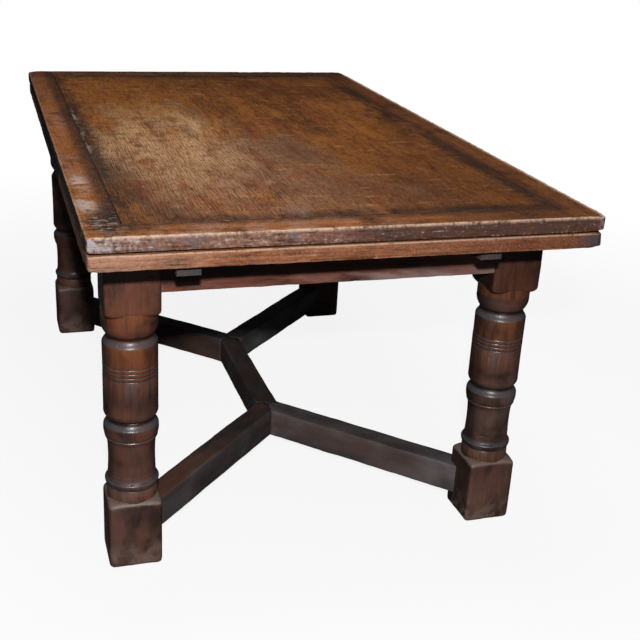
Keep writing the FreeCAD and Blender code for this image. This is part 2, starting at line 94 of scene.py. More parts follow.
def choose(*pieces):
    """Selects these pieces alone, with the first one active."""
    bpy.ops.object.select_all(action="DESELECT")
    for piece in pieces:
        piece.select_set(True)
    bpy.context.view_layer.objects.active = pieces[0]


def settle():
    """Bakes the place, turn and size of what is selected into its mesh."""
    bpy.ops.object.transform_apply(location=True, rotation=True, scale=True)


def copy_of(piece):
    """A copy with a mesh of its own."""
    made = piece.copy()
    made.data = piece.data.copy()
    bpy.context.collection.objects.link(made)
    return made


def add_block(name, low, high):
    """A sawn block, added at its size and place."""
    bpy.ops.object.select_all(action="DESELECT")
    bpy.ops.mesh.primitive_cube_add(size=1.0, location=(low + high) / 2)
    piece = bpy.context.object
    piece.name = name
    piece.scale = high - low
    settle()
    return piece


def edit(piece):
    """Opens a piece for edge work, with all of it selected."""
    choose(piece)
    bpy.ops.object.mode_set(mode="EDIT")
    bpy.ops.mesh.select_mode(type="EDGE")
    bpy.ops.mesh.select_all(action="SELECT")


def close_edit():
    bpy.ops.object.mode_set(mode="OBJECT")


def pick_edges(piece, chosen):
    """Selects the edges whose two end points pass the test."""
    bpy.ops.mesh.select_all(action="DESELECT")
    mesh = bmesh.from_edit_mesh(piece.data)
    for edge in mesh.edges:
        edge.select_set(chosen(edge.verts[0].co, edge.verts[1].co))
    bmesh.update_edit_mesh(piece.data)


def slice_along(piece, axis, pitch):
    """Cuts a piece in edit mode into slices along an axis, so that it can wear unevenly."""
    spread = [vert.co[axis] for vert in bmesh.from_edit_mesh(piece.data).verts]
    low, high = min(spread), max(spread)
    count = round((high - low) / pitch)
    normal = Vector((0, 0, 0))
    normal[axis] = 1
    for number in range(1, count):
        bpy.ops.mesh.select_all(action="SELECT")
        place = normal * (low + (high - low) * number / count)
        bpy.ops.mesh.bisect(plane_co=place, plane_no=normal)


def apply_modifier(piece, name, kind, settings):
    """Adds a modifier with its settings and applies it."""
    bpy.context.view_layer.objects.active = piece
    made = piece.modifiers.new(name, kind)
    for setting, value in settings.items():
        setattr(made, setting, value)
    bpy.ops.object.modifier_apply(modifier=made.name)


def lathe(name, outline, facets=LATHE_FACETS):
    """Turns a solid about the upright axis from its outline of radii and heights."""
    radius, height = outline[0]
    bpy.ops.object.select_all(action="DESELECT")
    bpy.ops.mesh.primitive_circle_add(vertices=facets, radius=radius, fill_type="NGON",
                                      location=(0, 0, height))
    piece = bpy.context.object
    piece.name = name
    settle()
    edit(piece)
    bpy.ops.mesh.select_mode(type="FACE")
    for next_radius, next_height in outline[1:]:
        bpy.ops.mesh.extrude_region_move(TRANSFORM_OT_translate={"value": (0, 0, next_height - height)})
        grow = next_radius / radius
        bpy.ops.transform.resize(value=(grow, grow, 1), center_override=(0, 0, next_height))
        radius, height = next_radius, next_height
    bpy.ops.mesh.select_all(action="SELECT")
    bpy.ops.mesh.normals_make_consistent(inside=False)
    close_edit()
    return piece


def square_block(name, low_z, high_z, turned_z, neck_radius, rubs):
    """The square end of a leg, with its corners turned away where it meets the turning."""
    half = LEG_SIDE / 2
    piece = add_block(name, Vector((-half, -half, low_z)), Vector((half, half, high_z)))
    edit(piece)
    bpy.ops.mesh.bevel(offset=BLOCK_ARRIS, segments=BLOCK_ARRIS_STEPS, affect="EDGES")
    close_edit()
    corner = math.hypot(half, half) * CHEEK_PLAY
    side = 1 if turned_z == high_z else -1
    far_z = low_z + high_z - turned_z
    outline = [(corner, far_z - side * BLOCK_ARRIS)]
    for step in range(ROUND_STEPS + 1):
        share = step / ROUND_STEPS
        outline.append((corner + (neck_radius - corner) * share,
                        turned_z - side * POMMEL_DROP * (1 - share) ** 2))
    cheek = lathe("cheek", outline)
    apply_modifier(piece, "pommel", "BOOLEAN", {"operation": "INTERSECT", "object": cheek})
    bpy.data.objects.remove(cheek)
    apply_modifier(piece, "even mesh", "REMESH", {"mode": "VOXEL", "voxel_size": BLOCK_VOXEL})
    apply_modifier(piece, "rubbed", "SMOOTH", {"factor": RUB, "iterations": rubs})
    return piece


outline = [(BASE_RING_RADIUS, FOOT_HEIGHT - TURNED_INTO_BLOCK)]


def turn(radius, height, swell=0.0):
    """Carries the turning up to a radius, straight or with a round that swells or hollows it."""
    start_radius, start_height = outline[-1]
    steps = ROUND_STEPS if swell else 1
    for step in range(1, steps + 1):
        share = step / steps
        reach = start_radius + (radius - start_radius) * share + 4 * swell * share * (1 - share)
        outline.append((reach, start_height + height * share))


def cut_ring():
    """A narrow V cut round the leg."""
    radius = outline[-1][0]
    turn(radius - RING_DEPTH, RING_WIDTH / 2)
    turn(radius, RING_WIDTH / 2)


top_block_z = leg_high.z - TOP_BLOCK_HEIGHT
drum_top_z = top_block_z - COLLAR_HEIGHT - CUSHION[1] - NECK_HEIGHT - COVE[1] - DRUM_SHOULDER[1]
turn(BASE_RING_RADIUS, TURNED_INTO_BLOCK + BASE_RING_HEIGHT)
cut_ring()
for lower_form in (BEAD, BEAD_TOP, LEDGE, WAIST_FOOT, WAIST, UPPER_FLARE):
    turn(*lower_form)
cut_ring()
for middle_form in (TORUS, TORUS_TOP, COVE):
    turn(*middle_form)
lower_crease_z = outline[-1][1]
turn(*DRUM_FOOT)
drum_plain = drum_top_z - outline[-1][1] - DRUM_RING_PITCH * (DRUM_RINGS - 1) - RING_WIDTH
turn(DRUM_RADIUS, drum_plain * DRUM_RING_PLACE)
cut_ring()
for ring in range(DRUM_RINGS - 1):
    turn(DRUM_RADIUS, DRUM_RING_PITCH - RING_WIDTH)
    cut_ring()
turn(DRUM_RADIUS, drum_top_z - outline[-1][1])
turn(*DRUM_SHOULDER)
turn(*COVE)
turn(NECK_RADIUS, NECK_HEIGHT)
upper_crease_z = outline[-1][1]
turn(*CUSHION)
turn(COLLAR_RADIUS, COLLAR_HEIGHT + TURNED_INTO_BLOCK)

turning = lathe("turning", outline)
foot = square_block("foot", 0.0, FOOT_HEIGHT, FOOT_HEIGHT, BASE_RING_RADIUS, FOOT_RUBS)
top_block = square_block("top_block", top_block_z, leg_high.z, top_block_z, COLLAR_RADIUS, TOP_BLOCK_RUBS)
choose(turning, foot, top_block)
bpy.ops.object.join()

arris_dents = bpy.data.textures.new("arris dents", "CLOUDS")
arris_dents.noise_scale = 0.022
arris_dents.noise_depth = 2
arris_dents.contrast = 2.2
arris_dents.intensity = 0.8
face_hollows = bpy.data.textures.new("face hollows", "CLOUDS")
face_hollows.noise_scale = 0.09
face_hollows.noise_depth = 1
ARRIS_ANGLE = math.radians(10)
SMOOTH_ANGLE = math.radians(38)
RELIEF_GAIN = 3.0


def wear(piece, arris_depth, face_depth):
    """Rubs the arrises down unevenly, hollows the faces a little, and notes what stands out or lies deep.

    The note is a value on each point: near 1 on an arris, near 0 in a cut ring and one half on a flat."""
    choose(piece)
    mesh = bmesh.new()
    mesh.from_mesh(piece.data)
    sharp = {vert.index for edge in mesh.edges if edge.calc_face_angle(0) > ARRIS_ANGLE
             for vert in edge.verts}
    mesh.free()
    piece.vertex_groups.new(name="arrises").add(sorted(sharp), 1.0, "REPLACE")
    rubbed = {"texture_coords": "GLOBAL", "mid_level": 0.0}
    if arris_depth:
        dents = {**rubbed, "texture": arris_dents, "strength": -arris_depth, "vertex_group": "arrises"}
        apply_modifier(piece, "dents", "DISPLACE", dents)
    if face_depth:
        hollows = {**rubbed, "texture": face_hollows, "strength": -face_depth}
        apply_modifier(piece, "hollows", "DISPLACE", hollows)
    mesh = bmesh.new()
    mesh.from_mesh(piece.data)
    relief = piece.data.attributes.new("relief", "FLOAT", "POINT")
    for vert in mesh.verts:
        around = [(edge.other_vert(vert).co - vert.co).normalized() for edge in vert.link_edges]
        lean = vert.normal.dot(sum(around, Vector()) / len(around))
        relief.data[vert.index].value = 0.5 - 0.5 * RELIEF_GAIN * lean
    mesh.free()
    bpy.ops.object.shade_smooth_by_angle(angle=SMOOTH_ANGLE)


class Shade:
    """A value or colour on its way through a material. Arithmetic on it adds Math nodes."""

    def __init__(self, tree, socket):
        self.tree = tree
        self.socket = socket

    def node(self, kind, settings, sockets, output=0):
        """Adds a node, sets it, feeds its sockets and gives back one of its outputs."""
        made = self.tree.nodes.new("ShaderNode" + kind)
        for name, value in settings.items():
            setattr(made, name, value)
        for name, value in sockets.items():
            if isinstance(value, Shade):
                self.tree.links.new(value.socket, made.inputs[name])
            else:
                made.inputs[name].default_value = value
        return Shade(self.tree, made.outputs[output]) if made.outputs else None

    def other(self, output):
        """Another output of the same node."""
        return Shade(self.tree, self.socket.node.outputs[output])

    def math(self, operation, *values):
        return self.node("Math", {"operation": operation}, dict(enumerate((self, *values))))

    def __add__(self, value):
        return self.math("ADD", value)

    def __sub__(self, value):
        return self.math("SUBTRACT", value)

    def __mul__(self, value):
        return self.math("MULTIPLY", value)

    def __truediv__(self, value):
        return self.math("DIVIDE", value)

    def __pow__(self, value):
        return self.math("POWER", value)

    def __rsub__(self, value):
        return self.node("Math", {"operation": "SUBTRACT"}, {0: value, 1: self})

    __radd__ = __add__
    __rmul__ = __mul__

    def ease(self, start, end):
        """0 at the start value and 1 at the end value, with a soft rise between."""
        return self.node("MapRange", {"interpolation_type": "SMOOTHSTEP"}, {0: self, 1: start, 2: end})

    def within(self, start, full, fade, end):
        """1 between the full and the fade value, and 0 past the start and the end value."""
        return self.ease(start, full) * self.ease(end, fade)

    def over(self, below, above):
        """The colour above laid over the colour below, as thick as this value."""
        below, above = [c if isinstance(c, Shade) else (*c, 1.0) for c in (below, above)]
        return self.node("Mix", {"data_type": "RGBA"}, {0: self, 6: below, 7: above}, output=2)

    def coated(self, *coats):
        """This colour under coats of others, laid in turn, each given as its thickness and colour."""
        colour = self
        for thickness, above in coats:
            colour = thickness.over(colour, above)
        return colour

    def scaled(self, value):
        """This colour, lighter or darker by a factor."""
        return self.node("VectorMath", {"operation": "SCALE"}, {0: self, "Scale": value})

    def stretched(self, x, y, z, shift=0.0):
        sockets = {0: self, 1: (x, y, z), 2: (shift,) * 3}
        return self.node("VectorMath", {"operation": "MULTIPLY_ADD"}, sockets)

    def noise(self, scale, detail=2.0, roughness=0.5, warp=0.35):
        sockets = {"Vector": self, "Scale": scale, "Detail": detail, "Roughness": roughness}
        return self.node("TexNoise", {}, {**sockets, "Distortion": warp})

    def axes(self):
        split = self.node("SeparateXYZ", {}, {0: self})
        return split, split.other(1), split.other(2)


BUMP_STRENGTH = 0.6
GRAIN_DRAW = 0.08
BEND_SCALE = 6.0
RIPPLE_SCALE = 70.0
VESSEL_SCALE = 700.0
BAND_FADE = 2.5


def new_finish(name):
    """A material with an empty surface, and the place of the point that it colours."""
    material = bpy.data.materials.new(name)
    material.use_nodes = True
    tree = material.node_tree
    tree.nodes.clear()
    place = Shade(tree, tree.nodes.new("ShaderNodeTexCoord").outputs["Object"])
    return material, place


def lay_finish(place, colour, roughness, height, depth, specular):
    """Closes a material: colour, gloss, and a relief of the given depth in metres."""
    bump = place.node("Bump", {}, {"Height": height, "Strength": BUMP_STRENGTH, "Distance": depth})
    sockets = {"Base Color": colour, "Roughness": roughness, "Normal": bump, "Specular IOR Level": specular}
    surface = place.node("BsdfPrincipled", {}, sockets)
    place.node("OutputMaterial", {}, {"Surface": surface})


def facing(place):
    """The way that the surface faces, as three values."""
    return place.node("NewGeometry", {}, {}, output="Normal").axes()


def relief_of(place):
    """What wear noted on the mesh."""
    return place.node("Attribute", {"attribute_name": "relief"}, {}, output="Fac")


def drawn_along(place, axis, share):
    """The place squeezed along the grain, which draws out what is laid on it."""
    return place.stretched(*[share if axis == letter else 1.0 for letter in "xyz"])


def oak_figure(along, across, depth, ring, sway, reach):
    """The figure of a sawn oak piece, from the place along the grain and the two places across it.

    Growth rings lie round the pith, where both cross places are 0. Each begins with a band of open pores."""
    drawn = along.node("CombineXYZ", {}, {0: along * GRAIN_DRAW, 1: across, 2: depth})
    bend = drawn.noise(BEND_SCALE) - 0.5
    ripple = drawn.noise(RIPPLE_SCALE, 3.0) - 0.5
    aside = across + bend * sway
    radius = (aside * aside + depth * depth) ** 0.5 + ripple * reach
    band = (1 - (radius / ring).math("FRACT")) ** BAND_FADE
    vessels = drawn.noise(VESSEL_SCALE, 1.0).ease(0.48, 0.66)
    pores = vessels * (band * 0.75 + 0.25)
    return band, pores


LEG_BLACK = (0.007, 0.005, 0.005)
LEG_BROWN = (0.054, 0.023, 0.016)
LEG_RED = (0.150, 0.054, 0.034)
LEG_AMBER = (0.300, 0.092, 0.026)
LEG_SHEEN_AND_DUST = (0.120, 0.088, 0.078)
FOOT_DUST = (0.260, 0.190, 0.155)
SHOULDER_DUST = (0.290, 0.225, 0.185)
COVE_DUST = (0.094, 0.101, 0.117)
LEG_GROWTH = (0.006, 0.05, 0.005)
LEG_PITH = (0.07, 0.09)
LEG_LOTS = (1.7, 3.1)
DRUM_DARK = (0.34, 0.39, 0.39, 0.47)
DRUM_CLEAR = (0.340, 0.365, 0.485, 0.500)
DRUM_AMBER = (0.435, 0.450, 0.488, 0.500)
COLLAR_AMBER = (0.46, 0.53, 0.53, 0.62)
SHEEN_SPAN = (0.14, 0.20, 0.53, 0.56)
SHEEN_FALL = (0.46, 0.20)
BLOCK_RISE = (0.500, 0.545)
BLOCK_SPECKS = (0.55, 0.62)
FOOT_DUST_FALL = (0.09, 0.0)
FOOT_DULL_FALL = (0.19, 0.15)
SHOULDER_FALL = (0.18, 0.165)
CREASE_REACH = (0.007, 0.002)
LAMP_FACING_SPAN = (0.22, 0.95)


def leg_finish():
    """Dark waxed oak with upright grain, amber where rubbed, grey with dust and with painted sheen."""
    material, place = new_finish("waxed leg oak")
    x, y, z = place.axes()
    east = x.math("SIGN")
    north = y.math("SIGN")
    across = x.math("ABSOLUTE") - leg_x + LEG_PITH[0] * east
    depth = y.math("ABSOLUTE") - leg_y + LEG_PITH[1] * north
    band, pores = oak_figure(z + LEG_LOTS[0] * east + LEG_LOTS[1] * north, across, depth, *LEG_GROWTH)
    streak = place.stretched(1, 1, 0.09).noise(85.0, 4.0, 0.65)
    tone = place.stretched(1, 1, 0.35, 4.0).noise(26.0, 4.0, 0.6)
    patch = place.noise(9.0, 3.0, 0.6)
    speck = place.noise(170.0, 3.0, 0.65)
    relief = relief_of(place)
    normal = facing(place)
    warm = 0.08 + z.within(*COLLAR_AMBER) * (0.14 - 0.06 * north)
    warm = warm + z.within(*DRUM_AMBER) * (0.44 + 0.06 * north)
    # Painted sheen: grey patches for the wax's reflection, low on all legs and higher up on the right legs.
    hazy_sheen = patch.ease(0.30, 0.60) * z.within(*SHEEN_SPAN) * (north * 0.33 + 0.33)
    painted_sheen = z.ease(*SHEEN_FALL) * patch.ease(0.30, 0.65) * 0.35 + hazy_sheen * (1 - 0.75 * z.within(*DRUM_CLEAR))
    # The specks are dust, laid in the same grey as the painted sheen.
    specks = speck.ease(0.54, 0.70) * (0.14 + z.ease(*BLOCK_SPECKS) * (0.1 - 0.1 * north))
    colour = (tone * 0.45 + streak * 0.15 + patch * 0.40).ease(0.36, 0.64).over(LEG_BROWN, LEG_RED).coated(
        ((tone * 0.8 + streak * 0.2).ease(0.38, 0.60) * warm, LEG_AMBER),
        (z.within(*DRUM_DARK) * (0.42 - 0.27 * north), LEG_BLACK),
        (patch.ease(0.48, 0.34) * 0.50, LEG_BLACK),
        (streak.ease(0.48, 0.32) * 0.09, LEG_BLACK),
        (band * 0.06 + pores * 0.15, LEG_BLACK),
        (painted_sheen + specks, LEG_SHEEN_AND_DUST))
    right_block = z.ease(*BLOCK_RISE) * (north * 0.5 + 0.5)
    # Painted shade, not wear: the value named rubbed darkens faces turned across the table to about a third.
    rubbed = normal[0].math("ABSOLUTE").ease(*LAMP_FACING_SPAN)
    low_dust = z.ease(*FOOT_DUST_FALL) * place.noise(34.0, 4.0, 0.6).ease(0.40, 0.60)
    ledge = normal[2].ease(0.06, 0.60) * (0.35 + 0.5 * speck)
    lower_crease = (z - lower_crease_z).math("ABSOLUTE")
    upper_crease = (z - upper_crease_z).math("ABSOLUTE")
    # The colour is scaled down on the right legs' top block and, as painted shade, on faces turned across the
    # table.
    colour = colour.scaled((1.06 - right_block * 0.40) * (0.36 + 0.64 * rubbed)).coated(
        # Dirt and painted shade in the cut rings and hollows.
        (relief.ease(0.48, 0.38) * 0.7, LEG_BLACK),
        (relief.ease(0.54, 0.70) * streak.ease(0.35, 0.6) * 0.35, LEG_AMBER),
        (low_dust * 0.6, FOOT_DUST),
        (ledge, z.ease(*SHOULDER_FALL).over(COVE_DUST, SHOULDER_DUST)),
        # Dirt and painted shade along the two necks.
        (lower_crease.math("MINIMUM", upper_crease).ease(*CREASE_REACH) * 0.8, LEG_BLACK))
    roughness = 0.27 + 0.14 * tone + 0.2 * low_dust + 0.2 * z.ease(*FOOT_DULL_FALL)
    height = 1 - pores * 0.4 - band * 0.2 + tone * 1.0 + speck * 0.12
    lay_finish(place, colour, roughness, height, depth=0.0006, specular=0.55)
    return material


waxed_leg_oak = leg_finish()
for end, x in (("front", leg_x), ("rear", -leg_x)):
    for side, y in (("left", -leg_y), ("right", leg_y)):
        leg = copy_of(turning)
        leg.name = f"turned_leg_{end}_{side}"
        leg.location = (x, y, 0)
        choose(leg)
        settle()
        wear(leg, *LEG_WEAR)
        leg.data.materials.append(waxed_leg_oak)
        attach(leg, "frame")
        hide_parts(f"leg_{end}_{side}")
bpy.data.objects.remove(turning)

# Rails
# Two end rails and two side rails of dark waxed oak join the leg blocks. The end rails are notched along the
# top for the bearers of the leaves, which slide in the notches.
ARRIS_STEPS = 3
RAIL_ARRIS = 0.002
RAIL_SLICE = 0.014
RAIL_FACE_SLICE = 0.025
INTO_LEG = 0.004
NOTCH_DEPTH = 0.0295
NOTCH_CLEARANCE = 0.0005
RAIL_DARK = (0.036, 0.014, 0.010)
RAIL_RED = (0.205, 0.070, 0.045)
RAIL_DUSTY = (0.330, 0.225, 0.205)
RAIL_WEAR = (0.0010, 0.0005)
RAIL_GROWTH = 0.007
END_RAIL_PITH = (0.58, 0.55)
SIDE_RAIL_PITH = (0.30, 0.72)
DUSTY_SIDE = (0.08, 0.24)
LEAF_SHADOW_SIDE = (0.30, -0.20)
LEAF_SHADOW_HEIGHT = (0.014, 0.030)
PIECE_SWAY = 0.06
PIECE_REACH = 0.004
rail_low, rail_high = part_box("end_rail_front")


def worn_bar(name, low, high, arris, pitches):
    """An oak bar sawn square, with eased arrises, cut into slices for the wear."""
    piece = add_block(name, low, high)
    edit(piece)
    bpy.ops.mesh.bevel(offset=arris, segments=ARRIS_STEPS, affect="EDGES")
    for axis, pitch in enumerate(pitches):
        slice_along(piece, axis, pitch)
    close_edit()
    return piece


def oak_along(place, axis, pith, ring):
    """The figure of a piece whose grain runs along an axis, with the pith at the two cross places given."""
    x, y, z = place.axes()
    along, across, depth = {"x": (x, y, z), "y": (y, x, z), "z": (z, x, y)}[axis]
    return oak_figure(along, across - pith[0], depth - pith[1], ring, PIECE_SWAY, PIECE_REACH)


def rail_finish(name, axis, pith):
    """Reddish waxed oak, dusty in streaks, with the leaf's shadow painted along its top, most at the left."""
    material, place = new_finish(name)
    y, z = place.axes()[1:]
    band, pores = oak_along(place, axis, pith, RAIL_GROWTH)
    drawn = drawn_along(place, axis, 0.2)
    tone = drawn.noise(40.0, 4.0, 0.6)
    dust = drawn.noise(16.0, 5.0, 0.65)
    # Painted shadow: the upper part of the rail, more towards the left, is darkened where the leaf's shadow
    # falls.
    painted_leaf_shadow = (z - rail_low.z + (dust - 0.5) * 0.02).ease(*LEAF_SHADOW_HEIGHT) * y.ease(*LEAF_SHADOW_SIDE)
    colour = tone.ease(0.30, 0.60).over(RAIL_DARK, RAIL_RED).coated(
        (band * 0.2 + pores * 0.3, RAIL_DARK),
        (dust.ease(0.50, 0.66) * 0.75 + dust.ease(0.36, 0.56) * y.ease(*DUSTY_SIDE) * 0.5, RAIL_DUSTY),
        (relief_of(place).ease(0.55, 0.8) * 0.4, RAIL_DUSTY),
        (painted_leaf_shadow * 0.75, RAIL_DARK))
    height = 1 - pores * 0.6 - band * 0.25 + tone * 0.8
    lay_finish(place, colour, 0.36 + 0.2 * dust, height, depth=0.0006, specular=0.35)
    return material


def end_rail_piece(end):
    low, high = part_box(f"end_rail_{end}")
    reach = leg_y - LEG_SIDE / 2 + INTO_LEG
    low.y = -reach
    high.y = reach
    pitches = (RAIL_FACE_SLICE, RAIL_SLICE, RAIL_FACE_SLICE)
    rail = worn_bar(f"notched_rail_{end}", low, high, RAIL_ARRIS, pitches)
    for place in ("outer", "inner"):
        bearer_low, bearer_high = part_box(f"{end}_leaf_{place}_bearer")
        notch_low = Vector((low.x - INTO_LEG, bearer_low.y - NOTCH_CLEARANCE, high.z - NOTCH_DEPTH))
        notch_high = Vector((high.x + INTO_LEG, bearer_high.y + NOTCH_CLEARANCE, high.z + INTO_LEG))
        notch = add_block("notch", notch_low, notch_high)
        apply_modifier(rail, "notch", "BOOLEAN", {"operation": "DIFFERENCE", "object": notch})
        bpy.data.objects.remove(notch)
    return rail


def side_rail_piece(side):
    low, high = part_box(f"side_rail_{side}")
    reach = leg_x - LEG_SIDE / 2 + INTO_LEG
    low.x = -reach
    high.x = reach
    pitches = (RAIL_SLICE, RAIL_FACE_SLICE, RAIL_FACE_SLICE)
    return worn_bar(f"worn_rail_{side}", low, high, RAIL_ARRIS, pitches)


end_rail_oak = rail_finish("waxed end rail oak", "y", END_RAIL_PITH)
side_rail_oak = rail_finish("waxed side rail oak", "x", SIDE_RAIL_PITH)
rails = [(end_rail_piece(end), end_rail_oak, "end_rail_", end) for end in ("front", "rear")]
rails += [(side_rail_piece(end), side_rail_oak, "side_rail_", end) for end in ("left", "right")]
for rail, oak, stem, end in rails:
    wear(rail, *RAIL_WEAR)
    rail.data.materials.append(oak)
    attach(rail, "frame")
    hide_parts(stem + end)

# Pegs of the rail tenons
# Whittled oak pegs, driven through each leg block and its tenon to hold the rail. Their heads stand a hair
# proud of the block and are waxed with it.
PEG_RADIUS = 0.005
PEG_PROUD = 0.0012
PEG_SUNK = 0.012
PEG_DISTANCE = 0.020
PEG_SPACING = 0.036
PEG_FACETS = 10
PEG_WEAR = (0.0004, 0.0)
PEG_TIP = 0.9
PEG_BURR = (0.86, 0.7)
PEG_CROWN = 0.45

peg_outline = [(PEG_RADIUS * PEG_TIP, -PEG_SUNK), (PEG_RADIUS, 0.0),
               (PEG_RADIUS * PEG_BURR[0], PEG_PROUD * PEG_BURR[1]), (PEG_RADIUS * PEG_CROWN, PEG_PROUD)]
peg = lathe("peg", peg_outline, PEG_FACETS)
face = LEG_SIDE / 2
inner = face - PEG_DISTANCE
peg_heads = []
for east in (-1, 1):
    for north in (-1, 1):
        for step in (-PEG_SPACING / 2, PEG_SPACING / 2):
            z = (rail_low.z + rail_high.z) / 2 + step
            end_place = Vector((east * (leg_x + face), north * (leg_y - inner), z))
            side_place = Vector((east * (leg_x - inner), north * (leg_y + face), z))
            for place, out in ((end_place, Vector((east, 0, 0))), (side_place, Vector((0, north, 0)))):
                head = copy_of(peg)
                head.location = place
                head.rotation_euler = out.to_track_quat("Z", "X").to_euler()
                peg_heads.append(head)
bpy.data.objects.remove(peg)
choose(*peg_heads)
settle()
bpy.ops.object.join()
pegs = peg_heads[0]
pegs.name = "rail_peg_heads"
wear(pegs, *PEG_WEAR)
pegs.data.materials.append(waxed_leg_oak)
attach(pegs, "frame")
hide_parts("rail_pegs")

# Floor stretcher
# Five oak bars near the floor: a middle beam that forks at both ends into two arms, mitred together at the
# fork and tenoned into the feet. Feet have rubbed its top arrises, and dust and grey scuffs lie on it.
STRETCHER_ARRIS = 0.005
STRETCHER_SLICE = 0.012
STRETCHER_FACE_SLICE = 0.018
STRETCHER_SLICES = (STRETCHER_SLICE, STRETCHER_FACE_SLICE, STRETCHER_FACE_SLICE)
STRETCHER_WEAR = (0.0007, 0.0022)
STRETCHER_PITH = (0.06, 0.0)
STRETCHER_GROWTH = 0.007
STRETCHER_BLACK = (0.020, 0.017, 0.017)
STRETCHER_BROWN = (0.066, 0.040, 0.031)
STRETCHER_GREY = (0.170, 0.168, 0.180)
STRETCHER_RED = (0.230, 0.092, 0.056)
# Grey and red shares of each arm, top and sides: dust and rubbed wax, raised on the rear arms as painted
# light.
DUST_AND_LIGHT_SHARES = {(1, -1): (0.12, 0.50), (1, 1): (0.70, 1.0), (-1, -1): (0.25, 0.10), (-1, 1): (0.50, 1.0)}
RED_AND_LIGHT_SHARES = {(1, -1): (0.50, 0.05), (1, 1): (0.05, 0.28), (-1, -1): (0.0, 0.45), (-1, 1): (0.0, 0.0)}
BEAM_DUST = (0.12, 0.35)
BEAM_RED = (0.05, 0.0)
FORK_X = 0.215

beam_low, beam_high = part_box("stretcher_beam")
stretcher_half = beam_high.y
arm_angle = math.atan2(leg_y, leg_x - FORK_X)
arm_end = math.hypot(leg_y, leg_x - FORK_X) - math.hypot(LEG_SIDE, LEG_SIDE) / 2 + stretcher_half + INTO_LEG


def saw_off(piece, place, normal):
    """Saws off what lies past a plane and closes the cut."""
    edit(piece)
    bpy.ops.mesh.bisect(plane_co=place, plane_no=normal, use_fill=True, clear_outer=True)
    close_edit()


def mitre_normal(east, north):
    """Across the mitre between the beam and an arm, towards the beam."""
    return Vector((-east, -north * math.tan(arm_angle / 2), 0))


def stretcher_finish(name, turned, dust_and_light_shares, red_and_light_shares):
    """Nearly black oak, grey with dust, red where rubbed, in places painted light. Shares are for top and
    sides.
    """
    material, place = new_finish(name)
    laid = place.node("VectorRotate", {"rotation_type": "Z_AXIS"}, {"Vector": place, "Angle": -turned})
    band, pores = oak_along(laid, "x", STRETCHER_PITH, STRETCHER_GROWTH)
    tone = laid.stretched(0.25, 1, 1).noise(34.0, 3.0, 0.55)
    scuff = laid.stretched(0.6, 1, 1, 5.0).noise(10.0, 4.0, 0.55)
    patch = laid.stretched(0.6, 1, 1, 9.0).noise(8.0, 3.0, 0.5)
    upper = facing(place)[2].ease(0.3, 0.8)
    dusty, rubbed = [side + upper * (top - side) for top, side in (dust_and_light_shares, red_and_light_shares)]
    colour = tone.ease(0.22, 0.74).over(STRETCHER_BLACK, STRETCHER_BROWN).coated(
        (band * 0.12 + pores * 0.2, STRETCHER_BLACK),
        (dusty * (0.25 + 0.75 * scuff.ease(0.34, 0.66)), STRETCHER_GREY),
        (rubbed * patch.ease(0.38, 0.60) * (0.5 + 0.6 * tone), STRETCHER_RED),
        (relief_of(place).ease(0.54, 0.75) * scuff.ease(0.40, 0.60) * 0.25, STRETCHER_GREY))
    height = 1 - pores * 0.5 - band * 0.25 + tone * 1.2
    lay_finish(place, colour, 0.42 + 0.25 * scuff, height, depth=0.001, specular=0.3)
    return material


arms = []
for end, east in (("front", 1), ("rear", -1)):
    for side, north in (("left", -1), ("right", 1)):
        low = Vector((-stretcher_half, -stretcher_half, beam_low.z))
        high = Vector((arm_end, stretcher_half, beam_high.z))
        arm = worn_bar(f"worn_arm_{end}_{side}", low, high, STRETCHER_ARRIS, STRETCHER_SLICES)
        turned = math.atan2(north * math.sin(arm_angle), east * math.cos(arm_angle))
        arm.rotation_euler = (0, 0, turned)
        arm.location = (east * FORK_X, 0, 0)
        settle()
        wear(arm, *STRETCHER_WEAR)
        saw_off(arm, (0, 0, 0), (0, -north, 0))
        saw_off(arm, (east * FORK_X, 0, 0), mitre_normal(east, north))
        shares = DUST_AND_LIGHT_SHARES[east, north], RED_AND_LIGHT_SHARES[east, north]
        arm.data.materials.append(stretcher_finish(f"dusty arm oak {end} {side}", turned, *shares))
        arms.append((arm, f"stretcher_arm_{end}_{side}"))

low = Vector((-FORK_X - stretcher_half, -stretcher_half, beam_low.z))
high = Vector((-low.x, stretcher_half, beam_high.z))
beam = worn_bar("worn_beam", low, high, STRETCHER_ARRIS, STRETCHER_SLICES)
wear(beam, *STRETCHER_WEAR)
for east in (-1, 1):
    for north in (-1, 1):
        saw_off(beam, (east * FORK_X, 0, 0), -mitre_normal(east, north))
beam.data.materials.append(stretcher_finish("dusty beam oak", 0.0, BEAM_DUST, BEAM_RED))
for bar, node in arms + [(beam, "stretcher_beam")]:
    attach(bar, "frame")
    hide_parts(node)

# Bearers, cross rail, centre board and loose dowels
# The plain oak carcass under the top, which carries the leaves and keeps the loose top in its place. It was
# never waxed, and is grey-brown with age and dust.
BARE_DARK = (0.030, 0.020, 0.014)
BARE_OAK = (0.120, 0.075, 0.045)
BARE_DUST = (0.044, 0.050, 0.062)
BARE_GROWTH = 0.009
BARE_PITHS = {"x": (0.03, 0.58), "y": (0.05, 0.62), "z": (0.02, 0.02)}


